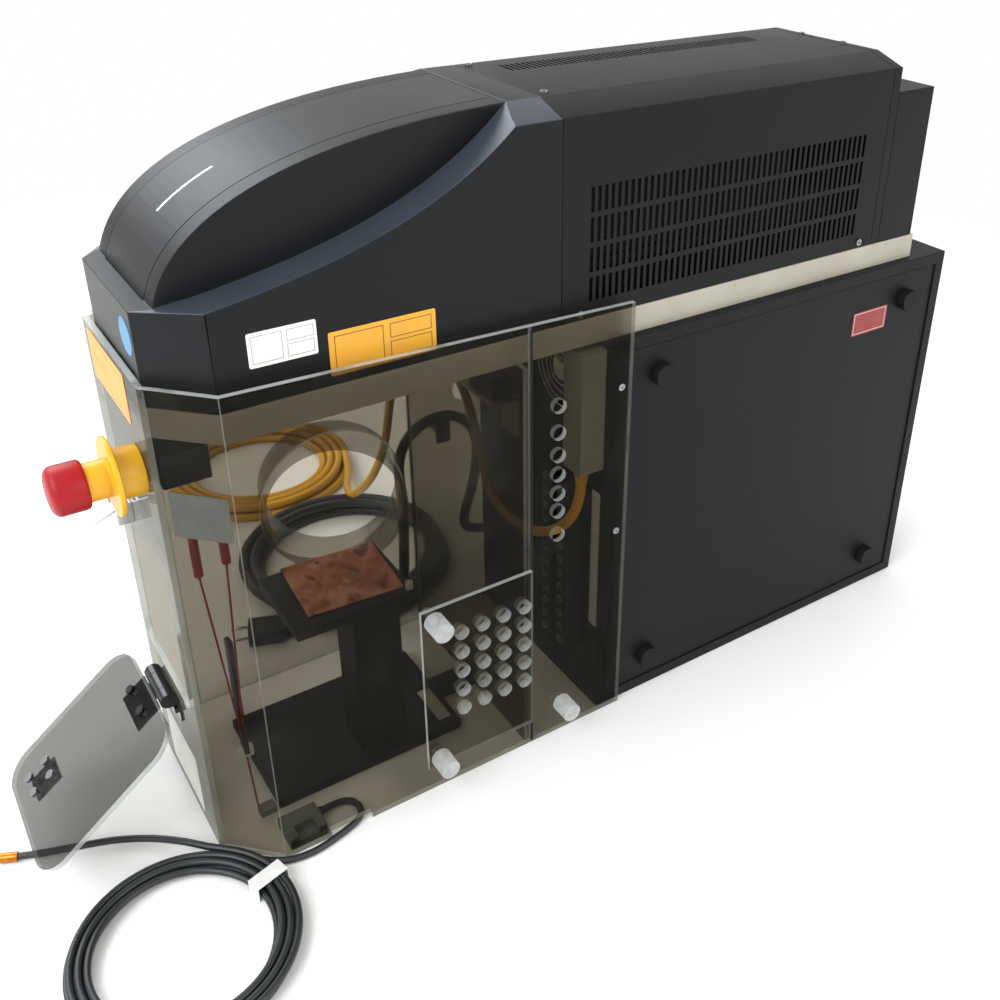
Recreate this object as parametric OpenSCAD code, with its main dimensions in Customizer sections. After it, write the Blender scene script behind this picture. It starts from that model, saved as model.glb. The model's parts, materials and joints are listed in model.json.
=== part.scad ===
// Laser marking machine: a laser head lying on its upright controller, with a clear screen
// round the work area under the head's nose. Lengths are in millimetres and +Z is up.
// The origin is on the floor, straight under the axis on which the beam leaves the head.
// Places along X count from the outer face of the screen's front wall.

/* [Laser head] */
// Half of the head's width
head_half = 98.5; // [90:0.5:105]
// Distance of the head's nose behind the screen's outer face
head_front = 6; // [5.5:0.1:8]
// Size of the upright corner chamfers at the nose, seen from above
nose_corner = 38.8; // [30:0.2:45]
// Share of the covers' height up to the flat rim round the nose
rim_share = 0.404; // [0.38:0.002:0.43]
// Height of the flat top
top_z = 595.4; // [580:0.2:610]
// Width of the long bevels beside the flat top
bevel_w = 31.7; // [24:0.1:36]
// Drop of the long bevels beside the flat top
bevel_h = 10.4; // [6:0.2:14]
// Place of the seam between hood and rear cover
seam_x = 326; // [320:1:330]
// Thickness of the cap that closes the rear cover
cap_depth = 10; // [6:1:14]
// Thickness of the moulded hood
hood_wall = 2.5; // [2:0.1:3]
// Thickness of the rear cover's sheet
cover_wall = 1.5; // [1.2:0.1:2]
// Half of the raised arch's width
arch_half = 66.8; // [62:0.2:70]
// Place where the arch rises from the rim
arch_foot = 20; // [16:1:24]
// Place where the shoulders start to climb
ledge_start = 45; // [44.9:0.1:50]
// Climb of the rim up to the place where the shoulders start
ledge_lip = 3.5; // [2:0.1:5]
// Place where the shoulders meet the top
ledge_end = 296; // [286:1:304]
// Half of the width of the inlaid strip on the arch
inlay_half = 47.5; // [40:0.5:52]
// Thickness of the inlaid strip
inlay_wall = 1.2; // [0.8:0.1:1.5]
// Length of the inlaid strip, measured along X
inlay_len = 272; // [250:1:280]

/* [Light bar] */
// Place of the light bar's front end
light_x = 50; // [46:1:56]
// Length of the light bar, measured along X
light_len = 43; // [36:1:48]
// Width of the light bar
light_w = 3; // [2:0.2:4]

/* [Base channel] */
// Height of the base channel
base_h = 23.5; // [18:0.5:28]
// Thickness of the base channel's floor
base_floor = 4; // [3:0.5:5]
// Thickness of the base channel's flanges
base_wall = 3.5; // [3:0.5:5]
// Ledge of the base channel outside the covers
base_ledge = 1; // [0.5:0.5:2]
// Length of the base channel behind the rear box
base_tail = 3; // [1:0.5:10]
// Radius of the four mounting holes
mount_r = 3.3; // [2.5:0.1:4]
// Spacing of the mounting holes along X
mount_pitch_x = 170; // [150:5:180]
// Spacing of the mounting holes along Y
mount_pitch_y = 160; // [150:5:165]
// Place of the front pair of mounting holes
mount_x = 80; // [70:1:90]

/* [Vents] */
// Place of the first side slot
side_vent_x = 353; // [345:1:360]
// Spacing of the side slots
side_slot_pitch = 6.45; // [6.2:0.05:6.5]
// Number of side slots in a row
side_slot_count = 48; // [24:1:48]
// Width of a side slot
side_slot_w = 3.3; // [2.4:0.1:3.8]
// Share of the cover's side wall taken by the height of a side slot
slot_h_share = 0.123; // [0.1:0.001:0.13]
// Share of the cover's side wall below the middle of the lowest row of side slots
vent_low_share = 0.153; // [0.15:0.001:0.18]
// Share of the cover's side wall between two rows of side slots
row_pitch_share = 0.15; // [0.145:0.001:0.155]
// Number of rows of side slots
side_rows = 4; // [2:1:4]
// Place of the first top slot
top_vent_x = 357; // [350:1:362]
// Spacing of the top slots
top_slot_pitch = 5.3; // [5:0.1:5.4]
// Number of top slots
top_slot_count = 52; // [20:1:52]
// Width of a top slot
top_slot_w = 2.6; // [2:0.1:3]
// Length of a top slot
top_slot_len = 24; // [18:1:28]
// Place of the row of top slots across the head
top_vent_y = 34; // [30:1:38]

/* [Rear box] */
// Height of the rear connector box above the base channel
rear_box_h = 144.5; // [120:0.5:150]
// Length of the rear connector box
rear_box_len = 48; // [40:1:60]
// Radius of the two socket holes in the rear connector box
socket_r = 11; // [9:0.5:13]

/* [Laser and optics] */
// Height of the beam above the base channel's floor
beam_rise = 44; // [42:1:48]
// Distance of the incoming beam from the centre line
beam_side = 30; // [28:1:32]
// Width of the laser tube's extrusion
tube_w = 84; // [70:1:90]
// Height of the laser tube's extrusion
tube_h = 72; // [60:1:76]
// Place of the laser tube's front end
tube_x = 262; // [256:1:270]
// Length of the laser tube
tube_len = 385; // [350:5:390]
// Radius of the laser tube's beam outlet
tube_outlet_r = 6; // [4:0.5:8]
// Share of the room above the laser tube that the radio-frequency driver fills
driver_share = 0.5; // [0.3:0.01:0.6]
// Thickness of the optics bench
bench_h = 6; // [5:0.5:8]
// Outer radius of the scan lens barrel
lens_r = 38; // [32:1:40]
// Height of the scan lens barrel
lens_h = 42; // [40:1:43]
// Length of the scan lens barrel that hangs below the base channel
lens_drop = 32; // [30:1:34]
// Radius of the scan motors
galvo_r = 12; // [10:0.5:13]
// Share of the room above the beam that an upright scan motor fills
galvo_share = 0.4; // [0.34:0.01:0.42]
// Radius of the scan motors' shafts
galvo_shaft_r = 2.5; // [2:0.1:3]
// Length of a scan mirror
mirror_len = 22; // [18:1:24]
// Width of a scan mirror
mirror_w = 16; // [12:1:18]
// Thickness of a scan mirror
mirror_t = 2; // [1.5:0.1:3]
// Radius of the focus screw
screw_r = 3; // [2.5:0.1:4]
// Travel of the focus carriage
focus_travel = 16; // [10:1:18]
// Radius of the focus lens's opening
focus_lens_r = 9; // [7:0.5:10]

/* [Fans] */
// Width of the head's fan frame
head_fan_w = 92; // [80:1:100]
// Width of the controller's fan frame
rack_fan_w = 80; // [70:1:84]
// Depth of a fan frame
fan_depth = 20; // [15:1:25]
// Number of fan blades
fan_blades = 7; // [5:1:9]

/* [Clear screen] */
// Half of the screen's outer width
screen_half = 113.5; // [113.5:0.1:120]
// Thickness of the clear sheets
sheet = 5; // [4:0.1:5]
// Size of the screen's upright corner chamfers
screen_corner = 41.6; // [38:0.2:46]
// Height of the screen's front wall
screen_h = 440; // [436:1:446]
// Height that the screen loses over its whole length
screen_fall = 10; // [4:1:12]
// Place of the joint between the front and rear side sheets
joint_x = 288; // [280:1:292]
// Place where the screen ends
screen_end = 390; // [384:1:396]
// Radius of the holes in the rear side sheet
column_hole_r = 6.5; // [5:0.5:8]
// Place of the column of holes
column_x = 316; // [312:1:320]
// Height of the column's lowest hole
column_z = 227; // [220:1:235]
// Span of the column of holes
column_span = 127; // [120:1:130]

/* [Vent plate] */
// Place of the vent plate's front edge
vent_plate_x = 178; // [174:1:182]
// Height of the vent plate's lower edge
vent_plate_z = 28; // [20:1:30]
// Length of the vent plate
vent_plate_len = 109; // [108:0.5:109.5]
// Height of the vent plate
vent_plate_h = 174; // [172:1:180]
// Spacing of the vent plate's holes
vent_pitch = 21; // [20:0.5:22]
// Radius of the vent plate's holes
vent_hole_r = 6.5; // [5:0.5:8]
// Columns of holes in the vent plate
vent_columns = 4; // [2:1:4]
// Rows of holes in the vent plate
vent_rows = 5; // [2:1:5]
// Radius of the clear pegs
peg_r = 9; // [7:0.5:10]
// Length of the clear pegs
peg_len = 20; // [14:1:24]
// Radius of the clear pegs' shanks
peg_shank_r = 3; // [2:0.5:4]

/* [Extraction port] */
// Outer radius of the port's clear collar
port_r = 70; // [60:1:74]
// Wall of the port's clear collar
port_wall = 5; // [3:0.5:6]
// Length of the port's clear collar
port_len = 52; // [44:1:60]
// Place of the port's middle along the screen
port_x = 200; // [195:1:205]
// Height of the port's middle
port_z = 188; // [180:1:195]
// Turn of the port's axis away from square, in degrees
port_yaw = 18; // [0:1:20]

/* [Access door] */
// Lowest point of the opening in the front wall
door_hole_z = 137; // [134:1:150]
// Height of the opening in the front wall
door_hole_h = 131; // [110:1:136]
// Width of the opening in the front wall
door_hole_w = 120; // [100:1:122]
// Distance of the opening's middle from the centre line
door_hole_y = 5; // [0:1:5]
// Radius of the opening's corners
door_corner = 14; // [8:1:20]
// Width of the door flap
flap_w = 138; // [134:1:140]
// Length of the door flap
flap_len = 146; // [144:1:150]
// Thickness of the door flap
flap_t = 5; // [4:0.5:5]
// Radius of the door flap's corners
flap_corner = 24; // [14:1:30]
// Droop of the open flap below level, in degrees
flap_droop = 38; // [30:1:44]
// Radius of the hinge barrel
barrel_r = 7; // [6:0.5:8]
// Radius of the hinge pin
pin_r = 3; // [2.5:0.1:3.5]
// Length of the hinge barrel
barrel_len = 46; // [40:1:50]
// Height of the hinge axis
hinge_z = 127; // [125:1:128]

/* [Catch] */
// Width of the catch's body
catch_w = 26; // [20:1:30]
// Height of the catch's body
catch_h = 18; // [16:1:24]
// Depth of the catch's body
catch_d = 13; // [10:1:16]
// Radius of the catch lever's pivot
catch_pin_r = 2; // [1.5:0.1:2.5]

/* [Stop button] */
// Distance of the stop button from the centre line
stop_y = 42; // [40:1:45]
// Height of the stop button
stop_z = 363; // [355:1:370]
// Radius of the red button
stop_button_r = 18.5; // [16:0.5:20]
// Length of the red button
stop_button_len = 26; // [22:1:30]
// Radius of the yellow neck
stop_neck_r = 14.5; // [13:0.5:15.5]
// Radius of the yellow flange
stop_flange_r = 30; // [26:1:32]
// Place of the yellow flange in front of the wall
stop_flange_x = 19; // [16:1:22]
// Radius of the yellow body behind the flange
stop_body_r = 19; // [16:1:20]
// Travel of the red button
stop_travel = 5; // [3:0.5:6]
// Radius of the stop button's stem
stop_stem_r = 5; // [4:0.5:6]

/* [Work fixture] */
// Length of the fixture's base plate
foot_len = 184; // [170:1:190]
// Width of the fixture's base plate
foot_w = 120; // [110:1:130]
// Thickness of the fixture's base plate
foot_h = 10; // [8:1:12]
// Place of the base plate's front edge
foot_x = 58; // [55:1:65]
// Length of the fixture's post along X
post_len = 45; // [35:1:50]
// Width of the fixture's post along Y
post_w = 40; // [30:1:44]
// Place of the post's front face
post_x = 146; // [140:1:150]
// Distance of the post's near face from the centre line
post_y = 48; // [44:1:50]
// Height of the top of the fixture's table
table_z = 172; // [150:1:190]
// Thickness of the fixture's table
table_t = 10; // [8:1:12]
// Length of the fixture's table
table_len = 112; // [100:1:120]
// Width of the fixture's table
table_w = 90; // [80:1:100]
// Place of the table's front edge
table_x = 96; // [92:1:100]
// Length of the copper test plate
plate_len = 88; // [80:1:92]
// Width of the copper test plate
plate_w = 79; // [70:1:84]
// Thickness of the copper test plate
plate_t = 1.6; // [1:0.1:3]
// Turn of the copper test plate on the table, in degrees
plate_yaw = -4; // [-6:1:0]

/* [Controller] */
// Height of the controller, standing on its side
rack_h = 395; // [380:1:400]
// Place of the controller's front face
rack_x = 367; // [360:1:372]
// Length of the controller
rack_len = 424; // [400:1:440]
// Half of the controller's width
rack_half = 108.5; // [104:0.1:108.5]
// Thickness of the controller's sheet
rack_wall = 1.5; // [1.2:0.1:2.5]
// Margin of the side plate at the controller's edges
side_margin = 12; // [8:1:16]
// Radius of the rubber feet
rubber_r = 11; // [9:0.5:13]
// Height of the rubber feet
rubber_h = 8; // [6:0.5:10]
// Spacing of the rubber feet
rubber_pitch = 313.5; // [300:0.5:320]
// Place of the front rubber feet
rubber_x = 426; // [420:1:432]
// Height of the lower rubber feet
rubber_z = 40; // [35:1:45]
// Rows of screws on the terminal blocks
terminal_rows = 12; // [6:1:14]

/* [Cords] */
// Diameter of the black floor cable
floor_d = 6; // [4:0.1:6]
// Radius of the floor cable's coil
floor_coil_r = 88; // [82:1:96]
// Turns in the floor cable's coil
floor_turns = 6; // [4:2:8]
// Diameter of the yellow link cable
link_d = 9.5; // [8:0.1:9.5]
// Radius of the link cable's coil
link_coil_r = 114; // [108:1:120]
// Turns in the link cable's coil
link_turns = 6; // [4:2:8]
// Diameter of the black feed cable
feed_d = 11; // [9:0.1:11]
// Radius of the feed cable's coil
feed_coil_r = 118; // [110:1:122]
// Turns in the feed cable's coil
feed_turns = 4; // [4:2:6]

/* [Hidden] */
$fn = 48;

// Distance of the beam's axis behind the screen's front wall
beam_x = 155;
// Overrun of every cut past the face that it opens
over = 1;
// Clearance between pieces that lie side by side
gap = 0.3;
// Room before and behind the head's fan
fan_space = 9.5;
// Radial clearance of every shaft in its bore
run = 0.05;

base_z = rack_h;
skirt_z = base_z + base_h;
floor_z = base_z + base_floor;
beam_z = floor_z + beam_rise;
rim_z = skirt_z + rim_share * (top_z - skirt_z);
head_fan_x = tube_x + tube_len + fan_space;
cover_end = head_fan_x + fan_depth + fan_space;
cap_end = cover_end + cap_depth;
rear_box_end = cap_end + rear_box_len;
base_end = rear_box_end + base_tail;
side_wall_h = top_z - bevel_h - skirt_z;
side_slot_h = slot_h_share * side_wall_h;
side_row_pitch = row_pitch_share * side_wall_h;
side_vent_z = skirt_z + vent_low_share * side_wall_h;
driver_h = driver_share * (top_z - cover_wall - beam_z - tube_h / 2);
galvo_x_rise = 19;
galvo_len = galvo_share * (top_z - hood_wall - beam_z - galvo_x_rise);
nose_h = rim_z - skirt_z;
base_half = head_half + base_ledge;
screen_in = screen_half - sheet;
rack_end = rack_x + rack_len;

// Place along X
module placed() {
  translate([-beam_x, 0, 0]) children();
}

// A block between two corners
module block(low, high) {
  translate(low) cube(high - low);
}

// A round bar along X, Y or Z from its start, by its length and radius
module bar_x(at, length, r) {
  translate(at) rotate([0, 90, 0]) cylinder(h = length, r = r);
}

module bar_y(at, length, r) {
  translate(at) rotate([-90, 0, 0]) cylinder(h = length, r = r);
}

module bar_z(at, length, r) {
  translate(at) cylinder(h = length, r = r);
}

// An outline in X and Z, drawn out along Y
module side_profile(points, y_low, y_high) {
  translate([0, y_high, 0]) rotate([90, 0, 0]) linear_extrude(y_high - y_low) polygon(points);
}

// An outline in Y and Z, drawn out along X
module section(points, x_low, x_high) {
  translate([x_low, 0, 0]) rotate([90, 0, 90]) linear_extrude(x_high - x_low) polygon(points);
}

// A rectangle with round corners, about its middle
module round_rect(length, width, r) {
  square([length - 2 * r, width], center = true);
  square([length, width - 2 * r], center = true);
  for (i = [-1, 1], j = [-1, 1])
    translate([i * (length / 2 - r), j * (width / 2 - r)]) circle(r);
}

// Points on a cubic curve whose handles are shares of its run and rise
function bezier(p, t) = pow(1 - t, 3) * p[0] + 3 * t * pow(1 - t, 2) * p[1]
  + 3 * t * t * (1 - t) * p[2] + pow(t, 3) * p[3];
function swept(from, run_rise, shares, steps) = [
  for (i = [0 : steps])
    let (q = bezier(shares, i / steps))
    [from[0] + q[0] * run_rise[0], from[1] + q[1] * run_rise[1]]
];

// Curves of the hood
arch_shares = [[0, 0], [0.052, 0.588], [0.36, 0.987], [1, 1]];
ledge_shares = [[0, 0], [0.42, 0.15], [0.757, 0.42], [1, 1]];
arch_steps = 30;
ledge_steps = 20;

// The curve of the arch, sunk by a wall
function arch_curve(sink) = swept([arch_foot + sink, rim_z - sink],
  [seam_x - arch_foot - sink, top_z - rim_z], arch_shares, arch_steps);

// The curve of the shoulders, sunk by a wall
function ledge_curve(sink) = swept([ledge_start + sink, rim_z + ledge_lip - sink],
  [ledge_end - ledge_start, top_z - rim_z - ledge_lip], ledge_shares, ledge_steps);

// Plan of the head or the screen, with chamfered front corners
function nose_plan(front, half, corner, back) = [
  [front, -(half - corner)], [front + corner, -half], [back, -half],
  [back, half], [front + corner, half], [front, half - corner]
];

// Cross-section of the covers, shrunk by a wall
function cover_section(sink, low) = [
  [-head_half + sink, low], [-head_half + sink, top_z - bevel_h - sink],
  [-head_half + bevel_w + sink, top_z - sink], [head_half - bevel_w - sink, top_z - sink],
  [head_half - sink, top_z - bevel_h - sink], [head_half - sink, low]
];

// The arch as a full body, sunk by a wall
module arch_core(sink, half, low) {
  side_profile(concat([[arch_foot + sink, low]], arch_curve(sink),
    [[seam_x + sink + over, top_z - sink], [seam_x + sink + over, low]]), -half, half);
}

// The hood as a full body, shrunk by a wall
module hood_body(sink, low) {
  back = seam_x + (sink > 0 ? over : 0);
  intersection() {
    translate([0, 0, low]) linear_extrude(top_z - low)
      polygon(nose_plan(head_front + sink, head_half - sink, nose_corner, back));
    section(cover_section(sink, low - over), head_front, back + over);
    union() {
      side_profile(concat([[head_front, low], [head_front, rim_z - sink]],
        ledge_curve(sink),
        [[back + sink + over, top_z - sink], [back + sink + over, low]]),
        -head_half, head_half);
      arch_core(sink, arch_half - sink, low);
    }
  }
}

// The room in the arch that the inlaid strip fills, grown on its three sides
module inlay_room(grow) {
  difference() {
    intersection() {
      arch_core(0, inlay_half + grow, rim_z);
      block([0, -head_half, rim_z], [arch_foot + inlay_len + grow, head_half, top_z + over]);
    }
    arch_core(inlay_wall, inlay_half + over, rim_z - over);
  }
}

module light_room(grow) {
  block([light_x - grow, -light_w / 2 - grow, rim_z],
    [light_x + light_len + grow, light_w / 2 + grow, top_z]);
}

module base_channel() {
  placed() color([0.63, 0.61, 0.56]) difference() {
    translate([0, 0, base_z]) linear_extrude(base_h)
      polygon(nose_plan(head_front, base_half, nose_corner, base_end));
    translate([0, 0, floor_z]) linear_extrude(base_h)
      polygon(nose_plan(head_front + base_wall, base_half - base_wall, nose_corner,
        base_end - base_wall));
    bar_z([beam_x, 0, base_z - over], base_h, lens_r + gap);
    for (i = [0, 1], j = [-1, 1])
      bar_z([mount_x + i * mount_pitch_x, j * mount_pitch_y / 2, base_z - over],
        base_h, mount_r);
  }
}

module hood() {
  placed() color([0.07, 0.08, 0.1]) difference() {
    hood_body(0, skirt_z);
    hood_body(hood_wall, skirt_z - over);
    inlay_room(run);
    light_room(0);
  }
}

module arch_panel() {
  placed() color([0.24, 0.27, 0.3]) difference() {
    inlay_room(0);
    light_room(0);
  }
}

module light_pipe() {
  placed() color([0.75, 0.88, 0.92]) intersection() {
    difference() {
      arch_core(0, light_w, rim_z);
      arch_core(hood_wall + over, light_w + over, rim_z - over);
    }
    light_room(-run);
  }
}

module rear_cover() {
  placed() color([0.07, 0.08, 0.1]) difference() {
    section(cover_section(0, skirt_z), seam_x, cover_end);
    section(cover_section(cover_wall, skirt_z - over), seam_x - over, cover_end + over);
    for (i = [0 : side_slot_count - 1], j = [0 : side_rows - 1])
      translate([side_vent_x + i * side_slot_pitch, -head_half - over,
        side_vent_z + j * side_row_pitch - side_slot_h / 2])
        cube([side_slot_w, cover_wall + 2 * over, side_slot_h]);
    for (i = [0 : top_slot_count - 1])
      translate([top_vent_x + i * top_slot_pitch, top_vent_y - top_slot_len / 2,
        top_z - cover_wall - over])
        cube([top_slot_w, top_slot_len, cover_wall + 2 * over]);
  }
}

module rear_cap() {
  placed() color([0.09, 0.1, 0.12]) difference() {
    section(cover_section(0, skirt_z), cover_end, cap_end);
    section(cover_section(cover_wall, skirt_z - over), cover_end - over, cap_end - cover_wall);
  }
}

socket_y = 42;
socket_len = 9;
socket_wall = 3;
module rear_box() {
  socket_z = skirt_z + rear_box_h / 2;
  placed() color([0.06, 0.07, 0.08]) difference() {
    union() {
      block([cap_end, -head_half, skirt_z],
        [rear_box_end, head_half, skirt_z + rear_box_h]);
      for (j = [-1, 1])
        bar_x([rear_box_end, j * socket_y, socket_z], socket_len, socket_r + socket_wall);
    }
    block([cap_end - over, -head_half + cover_wall, skirt_z - over],
      [rear_box_end - cover_wall, head_half - cover_wall,
      skirt_z + rear_box_h - cover_wall]);
    for (j = [-1, 1])
      bar_x([rear_box_end - cover_wall - over, j * socket_y, socket_z],
        socket_len + 2 * (cover_wall + over), socket_r);
  }
}

screw_head_r = 3.2;
screw_head_h = 1.6;
cover_screw_inset = 9;
cap_screw_y = 27;
flange_screw_rise = 6;
module small_screws() {
  top_y = arch_half - cover_screw_inset;
  placed() color([0.7, 0.7, 0.7]) {
    for (j = [-1, 1]) {
      bar_z([seam_x + cover_screw_inset, j * top_y, top_z], screw_head_h, screw_head_r);
      bar_z([cap_end - cap_depth / 2, j * cap_screw_y, top_z], screw_head_h, screw_head_r);
    }
    for (x = [seam_x + 2 * cover_screw_inset, cover_end - 2 * cover_screw_inset]) {
      bar_y([x, -head_half - screw_head_h, skirt_z + flange_screw_rise],
        screw_head_h, screw_head_r);
      bar_y([x, head_half, skirt_z + flange_screw_rise], screw_head_h, screw_head_r);
    }
    for (z = [rack_h * 0.9, rack_h * 0.53])
      bar_y([screen_end - side_margin, -screen_half - screw_head_h, z],
        screw_head_h, screw_head_r);
  }
}

label_t = 0.4;
white_label_w = 50;
white_label_x = 70;
white_label_shares = [0.4, 0.77];
amber_label_w = 85;
amber_label_x = 128;
amber_label_shares = [0.11, 0.59];
round_label_shares = [0.66, 0.2];
round_label_y = -42;
front_amber = [98, 40];
front_amber_at = [-38, 396];
sheet_label = [84, 62];
sheet_label_at = [-38, 12];
rack_label = [48, 25];
rack_label_at = [667, 328];
foot_label = [13, 46];
foot_label_at = [223, -50];
strip_label = [12, 150];
strip_label_at = [-104, 96];
module blank_labels() {
  placed() {
    color([0.92, 0.92, 0.95]) {
      block([white_label_x, -head_half - label_t,
        skirt_z + white_label_shares[0] * nose_h],
        [white_label_x + white_label_w, -head_half,
        skirt_z + white_label_shares[1] * nose_h]);
      block([-label_t, sheet_label_at[0], sheet_label_at[1]],
        [0, sheet_label_at[0] + sheet_label[0], sheet_label_at[1] + sheet_label[1]]);
      block([foot_label_at[0], foot_label_at[1], foot_h],
        [foot_label_at[0] + foot_label[0], foot_label_at[1] + foot_label[1],
        foot_h + label_t]);
      block([rack_x - label_t, strip_label_at[0], strip_label_at[1]],
        [rack_x, strip_label_at[0] + strip_label[0], strip_label_at[1] + strip_label[1]]);
    }
    color([0.89, 0.61, 0.17]) {
      block([amber_label_x, -head_half - label_t,
        skirt_z + amber_label_shares[0] * nose_h],
        [amber_label_x + amber_label_w, -head_half,
        skirt_z + amber_label_shares[1] * nose_h]);
      block([-label_t, front_amber_at[0], front_amber_at[1]],
        [0, front_amber_at[0] + front_amber[0], front_amber_at[1] + front_amber[1]]);
    }
    color([0.1, 0.6, 0.85])
      bar_x([head_front - label_t, round_label_y,
        skirt_z + round_label_shares[0] * nose_h],
        label_t, round_label_shares[1] * nose_h);
    color([0.55, 0.1, 0.12])
      block([rack_label_at[0], -rack_half + rack_wall - label_t, rack_label_at[1]],
        [rack_label_at[0] + rack_label[0], -rack_half + rack_wall,
        rack_label_at[1] + rack_label[1]]);
  }
}

fin_count = 7;
fin_depth = 8;
saddle_len = 24;
saddle_inset = 30;
module laser_tube() {
  low = beam_z - tube_h / 2;
  top = beam_z + tube_h / 2;
  left = -beam_side - tube_w / 2;
  fin_pitch = tube_w / fin_count;
  placed() color([0.72, 0.73, 0.75]) difference() {
    union() {
      block([tube_x, left, low], [tube_x + tube_len, left + tube_w, top]);
      for (x = [tube_x + saddle_inset, tube_x + tube_len - saddle_inset - saddle_len])
        block([x, left, floor_z], [x + saddle_len, left + tube_w, low + fin_depth]);
    }
    for (i = [1 : fin_count - 1], side = [-1, 1])
      translate([tube_x - over, -beam_side + side * (tube_w / 2) - fin_depth / 2,
        low + i * tube_h / fin_count - fin_pitch / 8])
        cube([tube_len + 2 * over, fin_depth, fin_pitch / 4]);
    bar_x([tube_x - over, -beam_side, beam_z], saddle_inset, tube_outlet_r);
  }
}

driver_inset = 60;
driver_len = 270;
board_t = 1.6;
board_rise = 6;
board_len = 240;
board_w = 62;
board_gap = 14;
standoff_r = 3;
chip = [34, 34, 5];
module rf_driver() {
  low = beam_z + tube_h / 2;
  left = -beam_side - tube_w / 2;
  board_y = left + tube_w + board_gap;
  placed() {
    color([0.55, 0.57, 0.6])
      block([tube_x + driver_inset, left, low],
        [tube_x + driver_inset + driver_len, left + tube_w, low + driver_h]);
    color([0.05, 0.35, 0.2]) {
      block([tube_x + driver_inset, board_y, floor_z + board_rise],
        [tube_x + driver_inset + board_len, board_y + board_w,
        floor_z + board_rise + board_t]);
      for (i = [0, 1], j = [0, 1])
        bar_z([tube_x + driver_inset + standoff_r + i * (board_len - 2 * standoff_r),
          board_y + standoff_r + j * (board_w - 2 * standoff_r), floor_z],
          board_rise, standoff_r);
      for (i = [1 : 3])
        translate([tube_x + driver_inset + i * board_len / 4 - chip[0] / 2,
          board_y + (board_w - chip[1]) / 2, floor_z + board_rise + board_t])
          cube(chip);
    }
  }
}

bench_x = 62;
bench_end = 258;
bench_half = 84;
screw_side = 62;
screw_drop = 20;
motor_w = 28;
motor_x = 150;
motor_len = 34;
post_t = 6;
screw_end = 252;
rail_h = 3.7;
rail_w = 18;
solenoid_x = 234;
solenoid_len = 14;
solenoid_r = 8;
solenoid_y = -4;
flag_shaft_r = 1.5;
module optics_bench() {
  bench_top = floor_z + bench_h;
  screw_z = beam_z - screw_drop;
  flag_z = bench_top + solenoid_r + over;
  placed() color([0.5, 0.52, 0.55]) difference() {
    union() {
      block([bench_x, -bench_half, floor_z], [bench_end, bench_half, bench_top]);
      block([motor_x, -screw_side - motor_w / 2, bench_top - over],
        [motor_x + motor_len, -screw_side + motor_w / 2, screw_z + motor_w / 2]);
      block([screw_end - 2 * post_t, -screw_side - motor_w / 2, bench_top - over],
        [screw_end - post_t, -screw_side + motor_w / 2, screw_z + motor_w / 2]);
      block([carriage_x, -beam_side - rail_w / 2, bench_top - over],
        [solenoid_x, -beam_side + rail_w / 2, bench_top + rail_h]);
      bar_x([solenoid_x, solenoid_y, flag_z], solenoid_len, solenoid_r);
      block([solenoid_x, solenoid_y - solenoid_r / 2, bench_top - over],
        [solenoid_x + solenoid_len, solenoid_y + solenoid_r / 2, flag_z]);
    }
    bar_z([beam_x, 0, floor_z - over], base_h, lens_r + gap);
    for (i = [0, 1], j = [-1, 1])
      bar_z([mount_x + i * mount_pitch_x, j * mount_pitch_y / 2, floor_z - over],
        bench_h + 2 * over, mount_r);
    bar_x([motor_x + motor_len / 2, -screw_side, screw_z], screw_end, screw_r + run);
    bar_x([solenoid_x + solenoid_len / 2, solenoid_y, flag_z], solenoid_len,
      flag_shaft_r + run);
  }
}

module focus_screw() {
  placed() color([0.75, 0.75, 0.77])
    bar_x([motor_x + motor_len / 2 + over, -screw_side, beam_z - screw_drop],
      screw_end - motor_x - motor_len / 2 - over, screw_r);
}

carriage_x = 204;
carriage_len = 16;
carriage_wall = 6;
lens_glass_t = 4;
module focus_carriage() {
  low = floor_z + bench_h + rail_h + gap;
  near = -screw_side - screw_r - carriage_wall;
  far = -beam_side + focus_lens_r + carriage_wall;
  placed() {
    color([0.2, 0.2, 0.22]) difference() {
      block([carriage_x, near, low],
        [carriage_x + carriage_len, far, beam_z + focus_lens_r + carriage_wall]);
      bar_x([carriage_x - over, -beam_side, beam_z], carriage_len + 2 * over, focus_lens_r);
      bar_x([carriage_x - over, -screw_side, beam_z - screw_drop],
        carriage_len + 2 * over, screw_r + run);
    }
    color([0.8, 0.75, 0.5])
      bar_x([carriage_x + carriage_len / 2 - lens_glass_t / 2, -beam_side, beam_z],
        lens_glass_t, focus_lens_r);
  }
}

flag_t = 1.5;
flag_tip_r = 9;
flag_hub_r = 5;
module shutter_flag() {
  flag_z = floor_z + bench_h + solenoid_r + over;
  flag_x = solenoid_x + solenoid_len + over;
  reach = sqrt(pow(beam_side + solenoid_y, 2) + pow(beam_z - flag_z, 2));
  lean = atan2(beam_side + solenoid_y, beam_z - flag_z);
  placed() color([0.3, 0.3, 0.32]) {
    bar_x([solenoid_x + solenoid_len / 2 + over, solenoid_y, flag_z],
      solenoid_len / 2 + flag_t, flag_shaft_r);
    bar_x([flag_x, solenoid_y, flag_z], flag_t, flag_hub_r);
    translate([flag_x, solenoid_y, flag_z]) rotate([lean, 0, 0]) {
      translate([0, -flag_hub_r / 2, 0]) cube([flag_t, flag_hub_r, reach]);
      bar_x([0, 0, reach], flag_t, flag_tip_r);
    }
  }
}

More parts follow.
